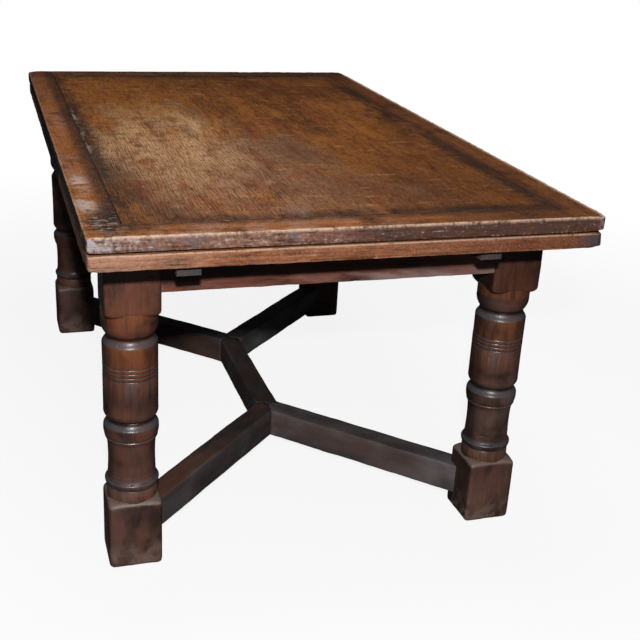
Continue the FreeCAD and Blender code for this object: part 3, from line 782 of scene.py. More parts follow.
def bare_finish(name, axis):
    """Old bare oak, dusty all over and most of all at the sawn ends."""
    material, place = new_finish(name)
    band, pores = oak_along(place, axis, BARE_PITHS[axis], BARE_GROWTH)
    tone = drawn_along(place, axis, 0.12).noise(20.0, 3.0)
    dust = place.noise(26.0, 4.0, 0.6)
    end = facing(place)["xyz".index(axis)].math("ABSOLUTE").ease(0.6, 0.95)
    colour = tone.ease(0.30, 0.70).over(BARE_DARK, BARE_OAK).coated(
        (band * 0.3 + pores * 0.4, BARE_DARK),
        (dust.ease(0.42, 0.70) * 0.5, BARE_DUST),
        (end * (0.1 + 1.0 * dust), BARE_DUST))
    height = 1 - pores * 0.7 - band * 0.3 + place.noise(70.0, 3.0) * 0.8
    lay_finish(place, colour, 0.62 + 0.2 * dust, height, depth=0.0008, specular=0.3)
    return material


bare_along = bare_finish("bare oak along", "x")
bare_across = bare_finish("bare oak across", "y")
bare_upright = bare_finish("bare oak upright", "z")
bare_nodes = {"centre_board": bare_across, "cross_rail": bare_across, "centre_board_pegs": bare_upright,
              "guide_dowels": bare_upright}
for end in ("front", "rear"):
    bare_nodes[f"{end}_leaf_outer_bearer"] = bare_along
    bare_nodes[f"{end}_leaf_inner_bearer"] = bare_along
    bare_nodes[f"{end}_leaf_stop_pegs"] = bare_upright
for node, oak in bare_nodes.items():
    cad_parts[node].material_slots[0].material = oak

# Screws of the bearers
# Iron wood screws, dull and brown with rust, sunk in the underside of each bearer. They hold the bearer
# to its leaf, and nothing shows of them from above.
IRON_DARK = (0.045, 0.040, 0.038)
IRON_RUST = (0.130, 0.055, 0.028)


def iron_finish():
    material, place = new_finish("rusty iron")
    rust = place.noise(260.0, 4.0, 0.6)
    colour = rust.ease(0.45, 0.65).over(IRON_DARK, IRON_RUST)
    lay_finish(place, colour, 0.45 + 0.4 * rust, rust, depth=0.0003, specular=0.5)
    return material


rusty_iron = iron_finish()
for end in ("front", "rear"):
    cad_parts[f"{end}_leaf_screws"].material_slots[0].material = rusty_iron

# Leaves
# Each leaf is a panel of five glued oak boards with a border on three sides. It lies under the top most of
# its life, so that its colour is more even, and its edge is orange where hands pull it out.
SHARP_CORNER = (0.007, 0.93)
ROUND_CORNER = (0.012, 0.84)
BORDER_ARRIS = 0.003
JOINT_ARRIS = 0.0002
BORDER_SLICE = 0.010
CORNER_REACH = 0.014
CORNER_SHARE = 0.75
CORNER_STEPS = 6
HAIR = 1e-5
BOARD_COUNT = 5
BOARD_SLICES = (0.060, 0.0285, 1.0)
BOARD_GROWTH = (0.0078, 0.05, 0.006)
BOARD_PITH = (0.22, 0.03)
BOARD_SPREAD = 0.15
BOARD_LOT = 30.0
LEAF_SEED = 11.0
BORDER_GROWTH = 0.008
LEAF_END_PITH = (0.74, 0.62)
LEAF_SIDE_PITH = (0.40, 0.66)
LEAF_BORDER_WEAR = (0.0012, 0.0004)
LEAF_BOARD_WEAR = (0.0, 0.0005)
LEAF_RIM = 0.005
LOWER_RIM = 0.004
RIM_FULL = 0.001
UPWARD = (0.5, 0.9)
DOWNWARD = (-0.3, -0.8)
PALE_SIDE = (-0.20, -0.50)
BROWN_SIDE = (0.02, 0.30)
SAWN_END = (0.42, 0.485)
LEAF_BROWN = (0.190, 0.062, 0.027)
LEAF_GOLD = (0.400, 0.150, 0.066)
LEAF_PALE = (0.640, 0.410, 0.290)
LEAF_RED = (0.240, 0.070, 0.034)
LEAF_AMBER = (0.240, 0.084, 0.020)
GRAIN_DARK = (0.030, 0.013, 0.007)
END_GRAIN = (0.066, 0.064, 0.072)
SCUFF_GREY = (0.400, 0.345, 0.325)
UNDER_BROWN = (0.080, 0.048, 0.030)

leaf_low, leaf_end_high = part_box("front_leaf_end_border")
leaf_out_x = leaf_end_high.x
leaf_out_y = -leaf_low.y
leaf_panel_x = leaf_low.x
leaf_panel_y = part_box("front_leaf_through_border")[0].y
leaf_in_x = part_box("front_leaf_board_1")[0].x
leaf_z = (leaf_low.z, leaf_end_high.z)


def board_box(low_x, low_y, high_x, high_y, heights):
    """The low and the high corner of a board that lies flat."""
    return Vector((low_x, low_y, heights[0])), Vector((high_x, high_y, heights[1]))


def half_turned(low, high):
    """The same box at the other end of the table."""
    return Vector((-high.x, -high.y, low.z)), Vector((-low.x, -low.y, high.z))


def border_piece(name, low, high, out_x, out_y, corner):
    """A border board, its outer corner rounded off and its outer arrises rubbed more than its joints."""
    radius, squash = corner

    def near_corner(co, reach):
        return min(abs(co.x) - out_x, abs(co.y) - out_y) > -reach

    def outside(co):
        past_x = max(abs(co.x) - out_x + radius, 0)
        past_y = max(abs(co.y) - out_y + radius, 0)
        return math.hypot(past_x, past_y) > radius - HAIR

    def at_corner(a, b):
        return near_corner(a, HAIR) and near_corner(b, HAIR)

    def on_round(a, b):
        return near_corner(a, radius * CORNER_SHARE) and near_corner(b, radius * CORNER_SHARE)

    def on_rim(a, b):
        return outside(a) and outside(b) and abs(a.z - b.z) < HAIR

    def at_joint(a, b):
        return not (outside(a) and outside(b))

    piece = add_block(name, low, high)
    edit(piece)
    for chosen, offset, steps in ((at_corner, radius, CORNER_STEPS), (at_joint, JOINT_ARRIS, 1),
                                  (on_rim, BORDER_ARRIS, ARRIS_STEPS)):
        pick_edges(piece, chosen)
        bpy.ops.mesh.bevel(offset=offset, segments=steps, affect="EDGES")
    for axis in range(3):
        slice_along(piece, axis, BORDER_SLICE)
    pick_edges(piece, on_round)
    bpy.ops.transform.resize(value=(1, 1, squash), center_override=(0, 0, (low.z + high.z) / 2),
                             use_proportional_edit=True, proportional_edit_falloff="SMOOTH",
                             proportional_size=CORNER_REACH)
    close_edit()
    return piece


def board_pieces(prefix, low, high):
    """Boards side by side, each with a hair of its arrises gone, so that the joints just show."""
    width = (high.y - low.y) / BOARD_COUNT
    boards = []
    for number in range(BOARD_COUNT):
        board_low = Vector((low.x, low.y + width * number, low.z))
        board_high = Vector((high.x, low.y + width * (number + 1), high.z))
        boards.append(worn_bar(f"{prefix}_{number + 1}", board_low, board_high, JOINT_ARRIS, BOARD_SLICES))
    return boards


def board_figure(place, width, seed, face_z):
    """The figure of boards laid side by side along X, each sawn from its own place near the side of a log.

    Gives the ring bands, the pores and a value that tells the boards apart."""
    x, y, z = place.axes()
    number = (y / width - 0.5).math("FLOOR")
    lot = place.node("TexWhiteNoise", {"noise_dimensions": "1D"}, {"W": number + seed}, output="Color")
    first, second, third = lot.axes()
    across = y - (number + 1) * width + BOARD_PITH[0] + second * BOARD_SPREAD
    depth = z - face_z + BOARD_PITH[1] + third * BOARD_SPREAD
    band, pores = oak_figure(x + first * BOARD_LOT, across, depth, *BOARD_GROWTH)
    return band, pores, first


def rim_wear(place, out_x, out_y, low_z, high_z, reach):
    """How near a point is to the rubbed upper arris of an edge, and to the lower one."""
    x, y, z = place.axes()
    inset = (out_x - x.math("ABSOLUTE")).math("MINIMUM", out_y - y.math("ABSOLUTE"))
    upper = inset.ease(reach, RIM_FULL) * (high_z - z).ease(reach, RIM_FULL)
    lower = inset.ease(LOWER_RIM, RIM_FULL) * (z - low_z).ease(LOWER_RIM, RIM_FULL)
    return upper, lower


def leaf_finish(name, axis, pith):
    """Orange-brown oak of a leaf: rubbed pale on its arrises, dark at the end grain, bare and dull below.

    Without a pith it is the oak of the boards, which differ from one another."""
    material, place = new_finish(name)
    y = place.axes()[1]
    tone = drawn_along(place, axis, 0.10).noise(140.0, 5.0, 0.7)
    patch = place.noise(16.0, 4.0, 0.65)
    chip = place.noise(150.0, 4.0, 0.65)
    grit = place.noise(300.0, 2.0, 0.7)
    normal = facing(place)
    if pith:
        band, pores = oak_along(place, axis, pith, BORDER_GROWTH)
        tints = [(y.ease(*PALE_SIDE) * patch * 0.7, LEAF_PALE), (y.ease(*BROWN_SIDE) * 0.7, LEAF_BROWN)]
    else:
        band, pores, lot = board_figure(place, 2 * leaf_panel_y / BOARD_COUNT, LEAF_SEED, leaf_z[1])
        tints = [(0.25 + lot * 0.45, LEAF_BROWN)]
    colour = (tone * 0.55 + patch * 0.45).ease(0.38, 0.61).over(LEAF_BROWN, LEAF_GOLD).coated(
        *tints,
        (patch.ease(0.54, 0.66) * 0.5, LEAF_RED),
        (tone.ease(0.44, 0.30) * 0.6, GRAIN_DARK),
        (tone.ease(0.57, 0.70) * 0.4, LEAF_PALE),
        (band * 0.25 + pores * 0.35, GRAIN_DARK),
        (grit.ease(0.57, 0.70) * 0.5, GRAIN_DARK),
        (grit.ease(0.42, 0.30) * 0.35, LEAF_PALE),
        (normal[2].ease(*UPWARD) * 0.6, LEAF_AMBER),
        (normal[2].ease(*DOWNWARD) * 0.8, UNDER_BROWN))
    if axis == "x" and pith:
        sawn = normal[0].math("ABSOLUTE").ease(0.5, 0.9) * y.math("ABSOLUTE").ease(*SAWN_END)
        colour = (sawn * (0.5 + 0.7 * chip)).over(colour, END_GRAIN)
    upper, lower = rim_wear(place, leaf_out_x, leaf_out_y, *leaf_z, LEAF_RIM)
    worn = (upper * chip.ease(0.30, 0.50)).math("MAXIMUM", lower * patch.ease(0.45, 0.65) * 0.4)
    colour = colour.coated(
        (chip.ease(0.61, 0.70) * patch.ease(0.45, 0.6) * 0.8, SCUFF_GREY),
        (worn * 0.85, LEAF_PALE))
    height = 1 - pores * 0.5 - band * 0.3 + chip * 0.6 + tone * 0.6
    lay_finish(place, colour, 0.44 + 0.2 * chip, height, depth=0.0006, specular=0.25)
    return material


leaf_board_oak = leaf_finish("leaf board oak", "x", None)
leaf_end_oak = leaf_finish("leaf end border oak", "y", LEAF_END_PITH)
leaf_side_oak = leaf_finish("leaf side border oak", "x", LEAF_SIDE_PITH)
leaf_boxes = {
    "end_border": board_box(leaf_panel_x, -leaf_out_y, leaf_out_x, leaf_panel_y, leaf_z),
    "through_border": board_box(leaf_in_x, leaf_panel_y, leaf_out_x, leaf_out_y, leaf_z),
    "butted_border": board_box(leaf_in_x, -leaf_out_y, leaf_panel_x, -leaf_panel_y, leaf_z),
}
leaf_panel = board_box(leaf_in_x, -leaf_panel_y, leaf_panel_x, leaf_panel_y, leaf_z)
for end in ("front", "rear"):
    leaf_pieces = []
    for stem, corners in leaf_boxes.items():
        low, high = corners if end == "front" else half_turned(*corners)
        corner, oak = (SHARP_CORNER, leaf_end_oak) if stem == "end_border" else (ROUND_CORNER, leaf_side_oak)
        border = border_piece(f"{end}_worn_{stem}", low, high, leaf_out_x, leaf_out_y, corner)
        wear(border, *LEAF_BORDER_WEAR)
        border.data.materials.append(oak)
        leaf_pieces.append((border, stem))
    low, high = leaf_panel if end == "front" else half_turned(*leaf_panel)
    for number, board in enumerate(board_pieces(f"{end}_worn_board", low, high), 1):
        wear(board, *LEAF_BOARD_WEAR)
        board.data.materials.append(leaf_board_oak)
        leaf_pieces.append((board, f"board_{number if end == 'front' else BOARD_COUNT + 1 - number}"))
    for piece, stem in leaf_pieces:
        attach(piece, f"{end}_leaf")
        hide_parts(f"{end}_leaf_{stem}")

# Top boards
# The loose top: five oak boards, glued side by side. Years of use have worn the wax to pale wood where people
# sat at the near left, dark dirt has gathered along the border, and the open grain is filled with old wax.
TOP_BROWN = (0.098, 0.028, 0.006)
TOP_GOLD = (0.330, 0.115, 0.024)
TOP_AMBER = (0.400, 0.138, 0.018)
TOP_PALE = (0.620, 0.360, 0.180)
TOP_WEAR_AND_SHEEN = (0.265, 0.148, 0.092)
TOP_RED = (0.200, 0.050, 0.020)
TOP_DARK = (0.045, 0.017, 0.008)
TOP_PAINTED_SHEEN = (0.330, 0.300, 0.300)
TOP_DIRT = (0.014, 0.012, 0.012)
TOP_SCRATCH = (0.480, 0.430, 0.370)
# The middle of each patch and its reach, along X and Y
PALE_PATCHES = [((0.12, -0.305), (0.22, 0.044)), ((-0.05, -0.165), (0.17, 0.036)),
                ((0.22, -0.20), (0.12, 0.03))]
WORN_PATCHES = [((0.14, -0.24), (0.46, 0.17))]
AMBER_PATCHES = [((-0.46, -0.24), (0.32, 0.17)), ((0.00, 0.26), (0.34, 0.07)), ((0.30, 0.13), (0.24, 0.06))]
WEAR_AND_SHEEN_PATCHES = [((0.46, -0.16), (0.44, 0.34)), ((0.66, -0.35), (0.14, 0.10))]
RED_PATCHES = [((0.14, -0.315), (0.05, 0.012)), ((0.665, -0.16), (0.045, 0.04)),
               ((0.33, -0.065), (0.12, 0.016)), ((-0.70, -0.20), (0.05, 0.08)),
               ((-0.14, 0.19), (0.10, 0.02)), ((0.60, 0.12), (0.06, 0.03))]
DARK_PATCHES = [((0.03, -0.175), (0.06, 0.016)), ((0.165, -0.313), (0.016, 0.012)),
                ((0.04, 0.17), (0.06, 0.022)), ((-0.46, 0.30), (0.14, 0.04)),
                ((0.245, -0.33), (0.014, 0.007)), ((0.53, -0.145), (0.014, 0.02))]
SHEEN_SPOTS = [((0.715, -0.100), (0.060, 0.030))]
DIRT_PATCHES = [((0.54, -0.398), (0.24, 0.048)), ((0.70, -0.36), (0.07, 0.08))]
PATCH_RAGGED = 5.0
PATCH_FALL = (1.6, -0.2)
DIRT_REACH = 0.025
DIRT_SPREAD = 0.012
DIRT_RAGGED = 0.05
DIRT_LEFT = (-0.43, -0.34)
DIRT_FAR = (-0.66, -0.76)
JOINT_LINE = (0.0030, 0.0008)
SCRATCH_SPAN = (-0.36, -0.12, 0.14, 0.34)
SCRATCH_SIDE = (-0.412, -0.424)
TOP_SEED = 3.0
TOP_BOARD_WEAR = (0.0, 0.0008)

top_low, top_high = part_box("top_end_border_front")
top_out_x = top_high.x
top_out_y = -top_low.y
top_panel_x = top_low.x
top_panel_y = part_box("top_side_border_right")[0].y
top_z = (top_low.z, top_high.z)


def soft_patches(place, patches, ragged):
    """Patches with ragged soft edges."""
    x, y = place.axes()[:2]
    found = None
    for (middle_x, middle_y), (reach_x, reach_y) in patches:
        aside_x = (x - middle_x) / reach_x
        aside_y = (y - middle_y) / reach_y
        away = aside_x * aside_x + aside_y * aside_y
        patch = (away + (ragged - 0.5) * PATCH_RAGGED).ease(*PATCH_FALL)
        found = found.math("MAXIMUM", patch) if found else patch
    return found


def dirt_band(place):
    """Dirt along the joint of the boards and the border: a thin line at the left, and broader elsewhere."""
    x, y = place.axes()[:2]
    past = (x.math("ABSOLUTE") - top_panel_x).math("MAXIMUM", y.math("ABSOLUTE") - top_panel_y)
    ragged = place.noise(42.0, 5.0, 0.7)
    drift = place.noise(5.5, 3.0, 0.6)
    reach = DIRT_REACH + DIRT_SPREAD * y.ease(*DIRT_LEFT)
    off = (past + reach * 0.35 + (ragged - 0.5) * DIRT_RAGGED).math("ABSOLUTE") / reach
    thick = (drift.ease(0.26, 0.56) * 0.85 + 0.15) * (0.30 + 0.50 * ragged)
    joint = past.math("ABSOLUTE").ease(*JOINT_LINE) * ragged.ease(0.25, 0.50)
    far = x.ease(*DIRT_FAR) * (0.15 + 0.6 * ragged)
    band = off.ease(1.1, 0.1) * thick * 1.35
    return band.math("MAXIMUM", joint * 0.85).math("MAXIMUM", far)


def top_board_finish():
    """Worn waxed oak of the top: amber, worn pale in places, with red and dark stains and fine open grain."""
    material, place = new_finish("worn top oak")
    x, y = place.axes()[:2]
    band, pores, lot = board_figure(place, 2 * top_panel_y / BOARD_COUNT, TOP_SEED, top_z[1])
    cloud = place.stretched(0.5, 1, 1).noise(6.0, 4.0, 0.6)
    blotch = place.stretched(0.33, 1, 1, 7.0).noise(17.0, 5.0, 0.65)
    ruddy = place.stretched(0.4, 1, 1, 13.0).noise(21.0, 5.0, 0.65)
    stain = place.stretched(0.4, 1, 1, 21.0).noise(13.0, 5.0, 0.65)
    streak = place.stretched(0.22, 1, 1).noise(80.0, 5.0, 0.7)
    line = place.stretched(0.08, 1, 1).noise(380.0, 2.0, 0.5)
    waves = {"Vector": place.stretched(0.15, 1, 1), "Scale": 68.0, "Distortion": 9.0, "Detail": 2.0,
             "Detail Scale": 1.5}
    ripple = place.node("TexWave", {"bands_direction": "Y"}, waves, output="Fac") * 0.22 + line * 0.78
    mottle = place.stretched(0.7, 1, 1, 3.0).noise(50.0, 4.0, 0.7)
    grit = place.stretched(0.5, 1, 1).noise(260.0, 2.0, 0.7)
    fleck = place.stretched(1, 0.20, 1).noise(52.0, 5.0, 0.65)
    coarse = x.ease(-0.50, 0.05) * y.ease(0.15, -0.12) * (0.30 + 1.0 * stain)
    right_shade = y.ease(-0.10, 0.30) * (0.17 + 0.45 * x.ease(0.0, 0.6))
    far_shade = x.ease(-0.2, -0.6) * y.ease(-0.35, -0.1) * 0.34
    open_grain = 1 - 0.6 * y.ease(-0.10, 0.15)
    smudged = soft_patches(place, DIRT_PATCHES, 0.25 + 0.5 * blotch) * (0.22 + 0.7 * streak)
    dirt = dirt_band(place).math("MAXIMUM", smudged)
    scratched = x.within(*SCRATCH_SPAN) * y.ease(*SCRATCH_SIDE) * streak.ease(0.46, 0.59)
    colour = (cloud * 0.25 + blotch * 0.4 + streak * 0.35).ease(0.41, 0.59).over(TOP_BROWN, TOP_GOLD).coated(
        (soft_patches(place, AMBER_PATCHES, cloud) * (0.2 + 0.6 * mottle), TOP_AMBER),
        # A pale veil over the near left half: wear, and painted sheen of the wax.
        (soft_patches(place, WEAR_AND_SHEEN_PATCHES, cloud) * (0.2 + 0.7 * mottle), TOP_WEAR_AND_SHEEN),
        (soft_patches(place, WORN_PATCHES, blotch) * (0.16 + 0.7 * mottle), TOP_PALE),
        (soft_patches(place, PALE_PATCHES, blotch * 0.5 + mottle * 0.5) * (0.20 + 0.8 * mottle), TOP_PALE),
        (ruddy.ease(0.52, 0.62) * 0.6, TOP_RED),
        (stain.ease(0.55, 0.68) * 0.4, TOP_DARK),
        (soft_patches(place, RED_PATCHES, mottle) * 0.6, TOP_RED),
        (soft_patches(place, DARK_PATCHES, mottle) * 0.5, TOP_DARK),
        (lot * 0.12 + (right_shade + far_shade), TOP_BROWN),
        (fleck.ease(0.46, 0.32) * (0.26 + x.ease(0.55, -0.10) * 0.22), TOP_DARK),
        (fleck.ease(0.57, 0.70) * mottle.ease(0.36, 0.58) * 0.40, TOP_PALE),
        (streak.ease(0.46, 0.32) * 0.35, TOP_DARK),
        (mottle.ease(0.53, 0.68) * 0.4, TOP_DARK),
        (line.ease(0.50, 0.36) * open_grain * 0.10, TOP_PALE),
        (line.ease(0.49, 0.62) * open_grain * 0.18, TOP_DARK))
    grained = 1.12 + coarse * 0.08 + (ripple - 0.5) * coarse * 4.4
    colour = colour.scaled(grained.math("MAXIMUM", 0.15)).coated(
        (band * 0.08 + pores * 0.2, TOP_DARK),
        (grit.ease(0.56, 0.70) * 0.5, TOP_DARK),
        (grit.ease(0.43, 0.30) * 0.25, TOP_PALE),
        (dirt, TOP_DIRT),
        (scratched * 0.4, TOP_SCRATCH),
        # Painted sheen: a soft whitish spot near the middle of the near end.
        (soft_patches(place, SHEEN_SPOTS, cloud) * (0.05 + 0.3 * mottle), TOP_PAINTED_SHEEN),
        (facing(place)[2].ease(*DOWNWARD) * 0.8, UNDER_BROWN))
    roughness = 0.46 + 0.2 * mottle + 0.1 * dirt
    height = 1 - pores * 0.5 - band * 0.2 - line * 0.4 + ripple * coarse * 0.6 + mottle * 0.6
    lay_finish(place, colour, roughness, height, depth=0.0009, specular=0.12)
    return material


worn_top_oak = top_board_finish()
top_panel = board_box(-top_panel_x, -top_panel_y, top_panel_x, top_panel_y, top_z)
for number, board in enumerate(board_pieces("worn_top_board", *top_panel), 1):
    wear(board, *TOP_BOARD_WEAR)
    board.data.materials.append(worn_top_oak)
    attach(board, "main_top")
    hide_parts(f"top_board_{number}")

# Top borders
# Four border boards, tongued round the panel: each runs through at one corner and is butted at the next.
# Their outer arrises are rubbed to bare pale wood, and the near edge is scuffed grey and white.
BORDER_BROWN = (0.110, 0.034, 0.008)
BORDER_GOLD = (0.400, 0.140, 0.036)
BORDER_PINK = (0.410, 0.205, 0.130)
BORDER_PALE = (0.660, 0.460, 0.330)
EDGE_BROWN = (0.330, 0.165, 0.110)
EDGE_PURPLE = (0.150, 0.115, 0.122)
EDGE_DARK = (0.080, 0.038, 0.028)
EDGE_BLACK = (0.020, 0.014, 0.013)
EDGE_SCUFF = (0.500, 0.460, 0.465)
TOP_SCUFF = (0.600, 0.480, 0.420)
TOP_SCUFFS = [((0.50, -0.474), (0.075, 0.020)), ((0.62, -0.476), (0.070, 0.018))]
CORNER_DIRT = [((0.735, -0.450), (0.090, 0.042))]
TOP_END_PITH = (0.77, 0.64)
TOP_SIDE_PITH = (0.43, 0.70)
TOP_BORDER_WEAR = (0.0014, 0.0006)
TOP_RIM = 0.007
RIGHT_RIM = (0.015, 0.004)
LEFT_RIM = (-0.484, -0.491)
SIDE_INNER = (-0.466, -0.442, -0.43, -0.40)
END_INNER = (0.795, 0.765)
EDGE_CORNER = (0.475, 0.497)
# How gold the border is at the left, how brown at the right and how brown at the far end
SIDE_SHARES = (1.0, 0.56, 0.35)
END_SHARES = (0.2, 0.82, 0.0)


def top_border_finish(name, axis, pith):
    """Oak of the top's border: rubbed on its arrises, scuffed on its edge, dirty along its joint, with
    painted light.
    """
    material, place = new_finish(name)
    x, y = place.axes()[:2]
    band, pores = oak_along(place, axis, pith, BORDER_GROWTH)
    drawn = drawn_along(place, axis, 0.14)
    tone = drawn.noise(75.0, 5.0, 0.7)
    smear = drawn_along(drawn, axis, 0.6).noise(240.0, 5.0, 0.7)
    cloud = place.noise(11.0, 4.0, 0.6)
    mottle = place.noise(38.0, 5.0, 0.7)
    chip = place.noise(150.0, 4.0, 0.65)
    grit = place.noise(290.0, 2.0, 0.7)
    blush = place.noise(19.0, 5.0, 0.65)
    scored = place.stretched(0.5, 0.25, 1).noise(260.0, 3.0, 0.6)
    normal = facing(place)
    flat = normal[2].ease(*UPWARD)
    gold, brown, far = SIDE_SHARES if axis == "x" else END_SHARES
    inner = y.within(*SIDE_INNER) if axis == "x" else x.ease(*END_INNER) * 0.4
    soiled = soft_patches(place, CORNER_DIRT, mottle) * flat
    scuffed = soft_patches(place, TOP_SCUFFS, mottle) * (blush * 0.5 + mottle * 0.5).ease(0.42, 0.58)
    colour = (tone * 0.35 + cloud * 0.30 + mottle * 0.35).ease(0.38, 0.61).over(BORDER_BROWN, BORDER_GOLD)
    colour = colour.coated(
        (y.ease(-0.30, -0.46) * mottle * gold, BORDER_GOLD),
        (blush.ease(0.46, 0.62) * y.ease(0.22, -0.15) * 0.70, BORDER_PINK),
        (y.ease(0.0, 0.36) * brown, BORDER_BROWN),
        (x.ease(-0.10, -0.60) * far, BORDER_BROWN),
        (inner * (0.42 + 0.75 * blush), TOP_DARK),
        (tone.ease(0.45, 0.30) * 0.55, TOP_DARK),
        (mottle.ease(0.53, 0.64) * 0.55, TOP_RED),
        (cloud.ease(0.44, 0.32) * 0.55, TOP_DARK),
        (band * 0.2 + pores * 0.25, TOP_DARK),
        (grit.ease(0.56, 0.70) * 0.45, TOP_DARK),
        (grit.ease(0.42, 0.30) * 0.35, BORDER_PALE),
        (soiled * 0.85, TOP_DIRT),
        (soiled * scored.ease(0.53, 0.64) * 0.55, TOP_SCRATCH),
        (scuffed * flat * (0.60 + 0.6 * chip), TOP_SCUFF))
    rough = smear * 0.4 + mottle * 0.3 + chip * 0.3
    bruised = rough + y.ease(-0.36, -0.48) * 0.10 - y.ease(-0.10, 0.20) * 0.03
    corner = y.math("ABSOLUTE").ease(*EDGE_CORNER) * normal[0].math("ABSOLUTE").ease(0.4, 0.9)
    edge = rough.ease(0.38, 0.60).over(EDGE_DARK, EDGE_BROWN).coated(
        (blush.ease(0.50, 0.60) * 0.6, EDGE_PURPLE),
        (y.ease(-0.15, 0.08) * 0.82, EDGE_DARK),
        (mottle.ease(0.55, 0.66) * y.ease(-0.30, 0.0) * 0.6, TOP_RED),
        ((smear * 0.6 + mottle * 0.4).ease(0.45, 0.34) * 0.75, EDGE_BLACK),
        (bruised.ease(0.53, 0.66) * 0.65, EDGE_SCUFF),
        ((chip * 0.5 + smear * 0.5).ease(0.57, 0.64) * 0.75, EDGE_SCUFF),
        (corner * chip.ease(0.40, 0.58) * 0.8, EDGE_SCUFF),
        # Painted shade: faces turned to the left side are laid nearly black.
        (normal[1].ease(-0.4, -0.9) * 0.75, EDGE_BLACK))
    # Pale along the right outer arris: rubbed wood, with a painted highlight where the arris catches the
    # lamp.
    right_rim = (top_out_y - y).ease(*RIGHT_RIM) * flat * (mottle * 0.5 + chip * 0.5).ease(0.37, 0.51)
    dirt = dirt_band(place) * flat
    upper, lower = rim_wear(place, top_out_x, top_out_y, *top_z, TOP_RIM)
    rubbed = (chip * 0.5 + mottle * 0.5).ease(0.34, 0.56) * (1 - 0.75 * y.ease(*LEFT_RIM))
    worn = (upper * rubbed).math("MAXIMUM", lower * chip.ease(0.52, 0.64) * 0.6)
    colour = colour.coated(
        (normal[2].math("ABSOLUTE").ease(0.75, 0.35), edge),
        (right_rim * 0.9, BORDER_PALE),
        (dirt, TOP_DIRT),
        (worn * 0.9, BORDER_PALE),
        (normal[2].ease(*DOWNWARD) * 0.8, UNDER_BROWN))
    roughness = 0.44 + 0.2 * chip + 0.1 * dirt
    height = 1 - pores * 0.5 - band * 0.3 + chip * 0.6 + tone * 0.6
    lay_finish(place, colour, roughness, height, depth=0.0008, specular=0.15)
    return material


top_end_oak = top_border_finish("top end border oak", "y", TOP_END_PITH)
top_side_oak = top_border_finish("top side border oak", "x", TOP_SIDE_PITH)
end_box = board_box(top_panel_x, -top_out_y, top_out_x, top_panel_y, top_z)
side_box = board_box(-top_panel_x, top_panel_y, top_out_x, top_out_y, top_z)
for node, corners, oak, corner in (("end_border_front", end_box, top_end_oak, SHARP_CORNER),
                                   ("end_border_rear", half_turned(*end_box), top_end_oak, SHARP_CORNER),
                                   ("side_border_right", side_box, top_side_oak, ROUND_CORNER),
                                   ("side_border_left", half_turned(*side_box), top_side_oak, ROUND_CORNER)):
    border = border_piece(f"worn_{node}", *corners, top_out_x, top_out_y, corner)
    wear(border, *TOP_BORDER_WEAR)
    border.data.materials.append(oak)
    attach(border, "main_top")
    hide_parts(f"top_{node}")

# Floor
# A plain pale floor and backdrop, white to the camera, which keeps the table's shadow.
FLOOR_SIZE = 40.0
FLOOR_GREY = (0.10, 0.10, 0.10)
FLOOR_PALE = (0.95, 0.95, 0.95)
FLOOR_WHITE = 0.88
FLOOR_FADE = (1.2, 2.8)
bpy.ops.object.select_all(action="DESELECT")
bpy.ops.mesh.primitive_plane_add(size=FLOOR_SIZE)
floor = bpy.context.object
floor.name = "floor"
pale_floor, place = new_finish("pale floor")
away = place.node("VectorMath", {"operation": "LENGTH"}, {0: place}, output="Value")
seen = place.node("LightPath", {}, {}, output="Is Camera Ray")
matt = place.node("BsdfDiffuse", {}, {"Color": seen.over(FLOOR_GREY, FLOOR_PALE)})
white = place.node("Emission", {}, {"Color": (1.0, 1.0, 1.0, 1.0), "Strength": 1.0})
share = seen * (FLOOR_WHITE + (1 - FLOOR_WHITE) * away.ease(*FLOOR_FADE))
mixed = place.node("MixShader", {}, {0: share, 1: matt, 2: white})
place.node("OutputMaterial", {}, {"Surface": mixed})
floor.data.materials.append(pale_floor)

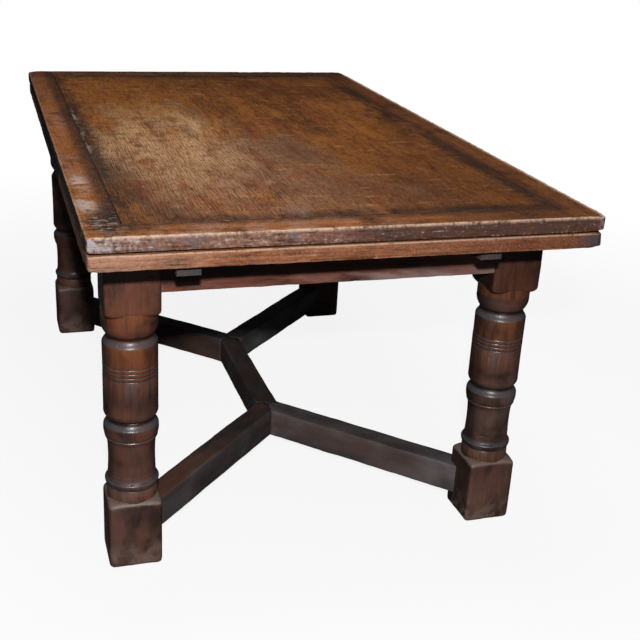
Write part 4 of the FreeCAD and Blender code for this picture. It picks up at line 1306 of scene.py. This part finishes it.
# Light
# One small lamp above the camera, as in the photograph, and a soft one overhead for the top.
KEY_PLACE = Vector((2.62, -0.66, 1.66))
KEY_AIM = Vector((0.40, 0.0, 0.50))
KEY_POWER = 50.0
KEY_SIZE = 0.08
FILL_HEIGHT = 3.2
FILL_SIZE = 1.6
FILL_POWER = 36.0
WORLD_STRENGTH = 0.02
GLOSS_STRENGTH = 0.02


def add_lamp(name, place, aim, size, power):
    bpy.ops.object.light_add(type="AREA", location=place)
    lamp = bpy.context.object
    lamp.name = name
    lamp.data.size = size
    lamp.data.energy = power
    lamp.rotation_euler = (aim - place).to_track_quat("-Z", "Y").to_euler()


add_lamp("key", KEY_PLACE, KEY_AIM, KEY_SIZE, KEY_POWER)
add_lamp("fill", Vector((0.0, 0.0, FILL_HEIGHT)), Vector((0.0, 0.0, 0.0)), FILL_SIZE, FILL_POWER)

studio = bpy.data.worlds.new("studio")
bpy.context.scene.world = studio
studio.use_nodes = True
studio.node_tree.nodes.clear()
path = Shade(studio.node_tree, studio.node_tree.nodes.new("ShaderNodeLightPath").outputs["Is Camera Ray"])
straight = path.math("MAXIMUM", path.other("Is Transmission Ray"))
strength = straight * (1 - WORLD_STRENGTH) + WORLD_STRENGTH + path.other("Is Glossy Ray") * GLOSS_STRENGTH
surround = path.node("Background", {}, {"Color": (1.0, 1.0, 1.0, 1.0), "Strength": strength})
path.node("OutputWorld", {}, {"Surface": surround})

# Camera
# At the photograph's place: beyond the near left corner, a little above a standing person's chest.
CAMERA_PLACE = Vector((2.54127, -0.65673, 1.32199))
CAMERA_AIM = Vector((0.25791, 0.11309, 0.34545))
CAMERA_ROLL = math.radians(3.29)
CAMERA_LENS = 59.77
SENSOR_WIDTH = 36.0
bpy.ops.object.camera_add(location=CAMERA_PLACE)
camera = bpy.context.object
camera.data.lens = CAMERA_LENS
camera.data.sensor_width = SENSOR_WIDTH
aim = (CAMERA_AIM - CAMERA_PLACE).to_track_quat("-Z", "Y") @ Quaternion((0, 0, 1), CAMERA_ROLL)
camera.rotation_euler = aim.to_euler()
bpy.context.scene.camera = camera
bpy.context.scene.view_settings.view_transform = "Standard"
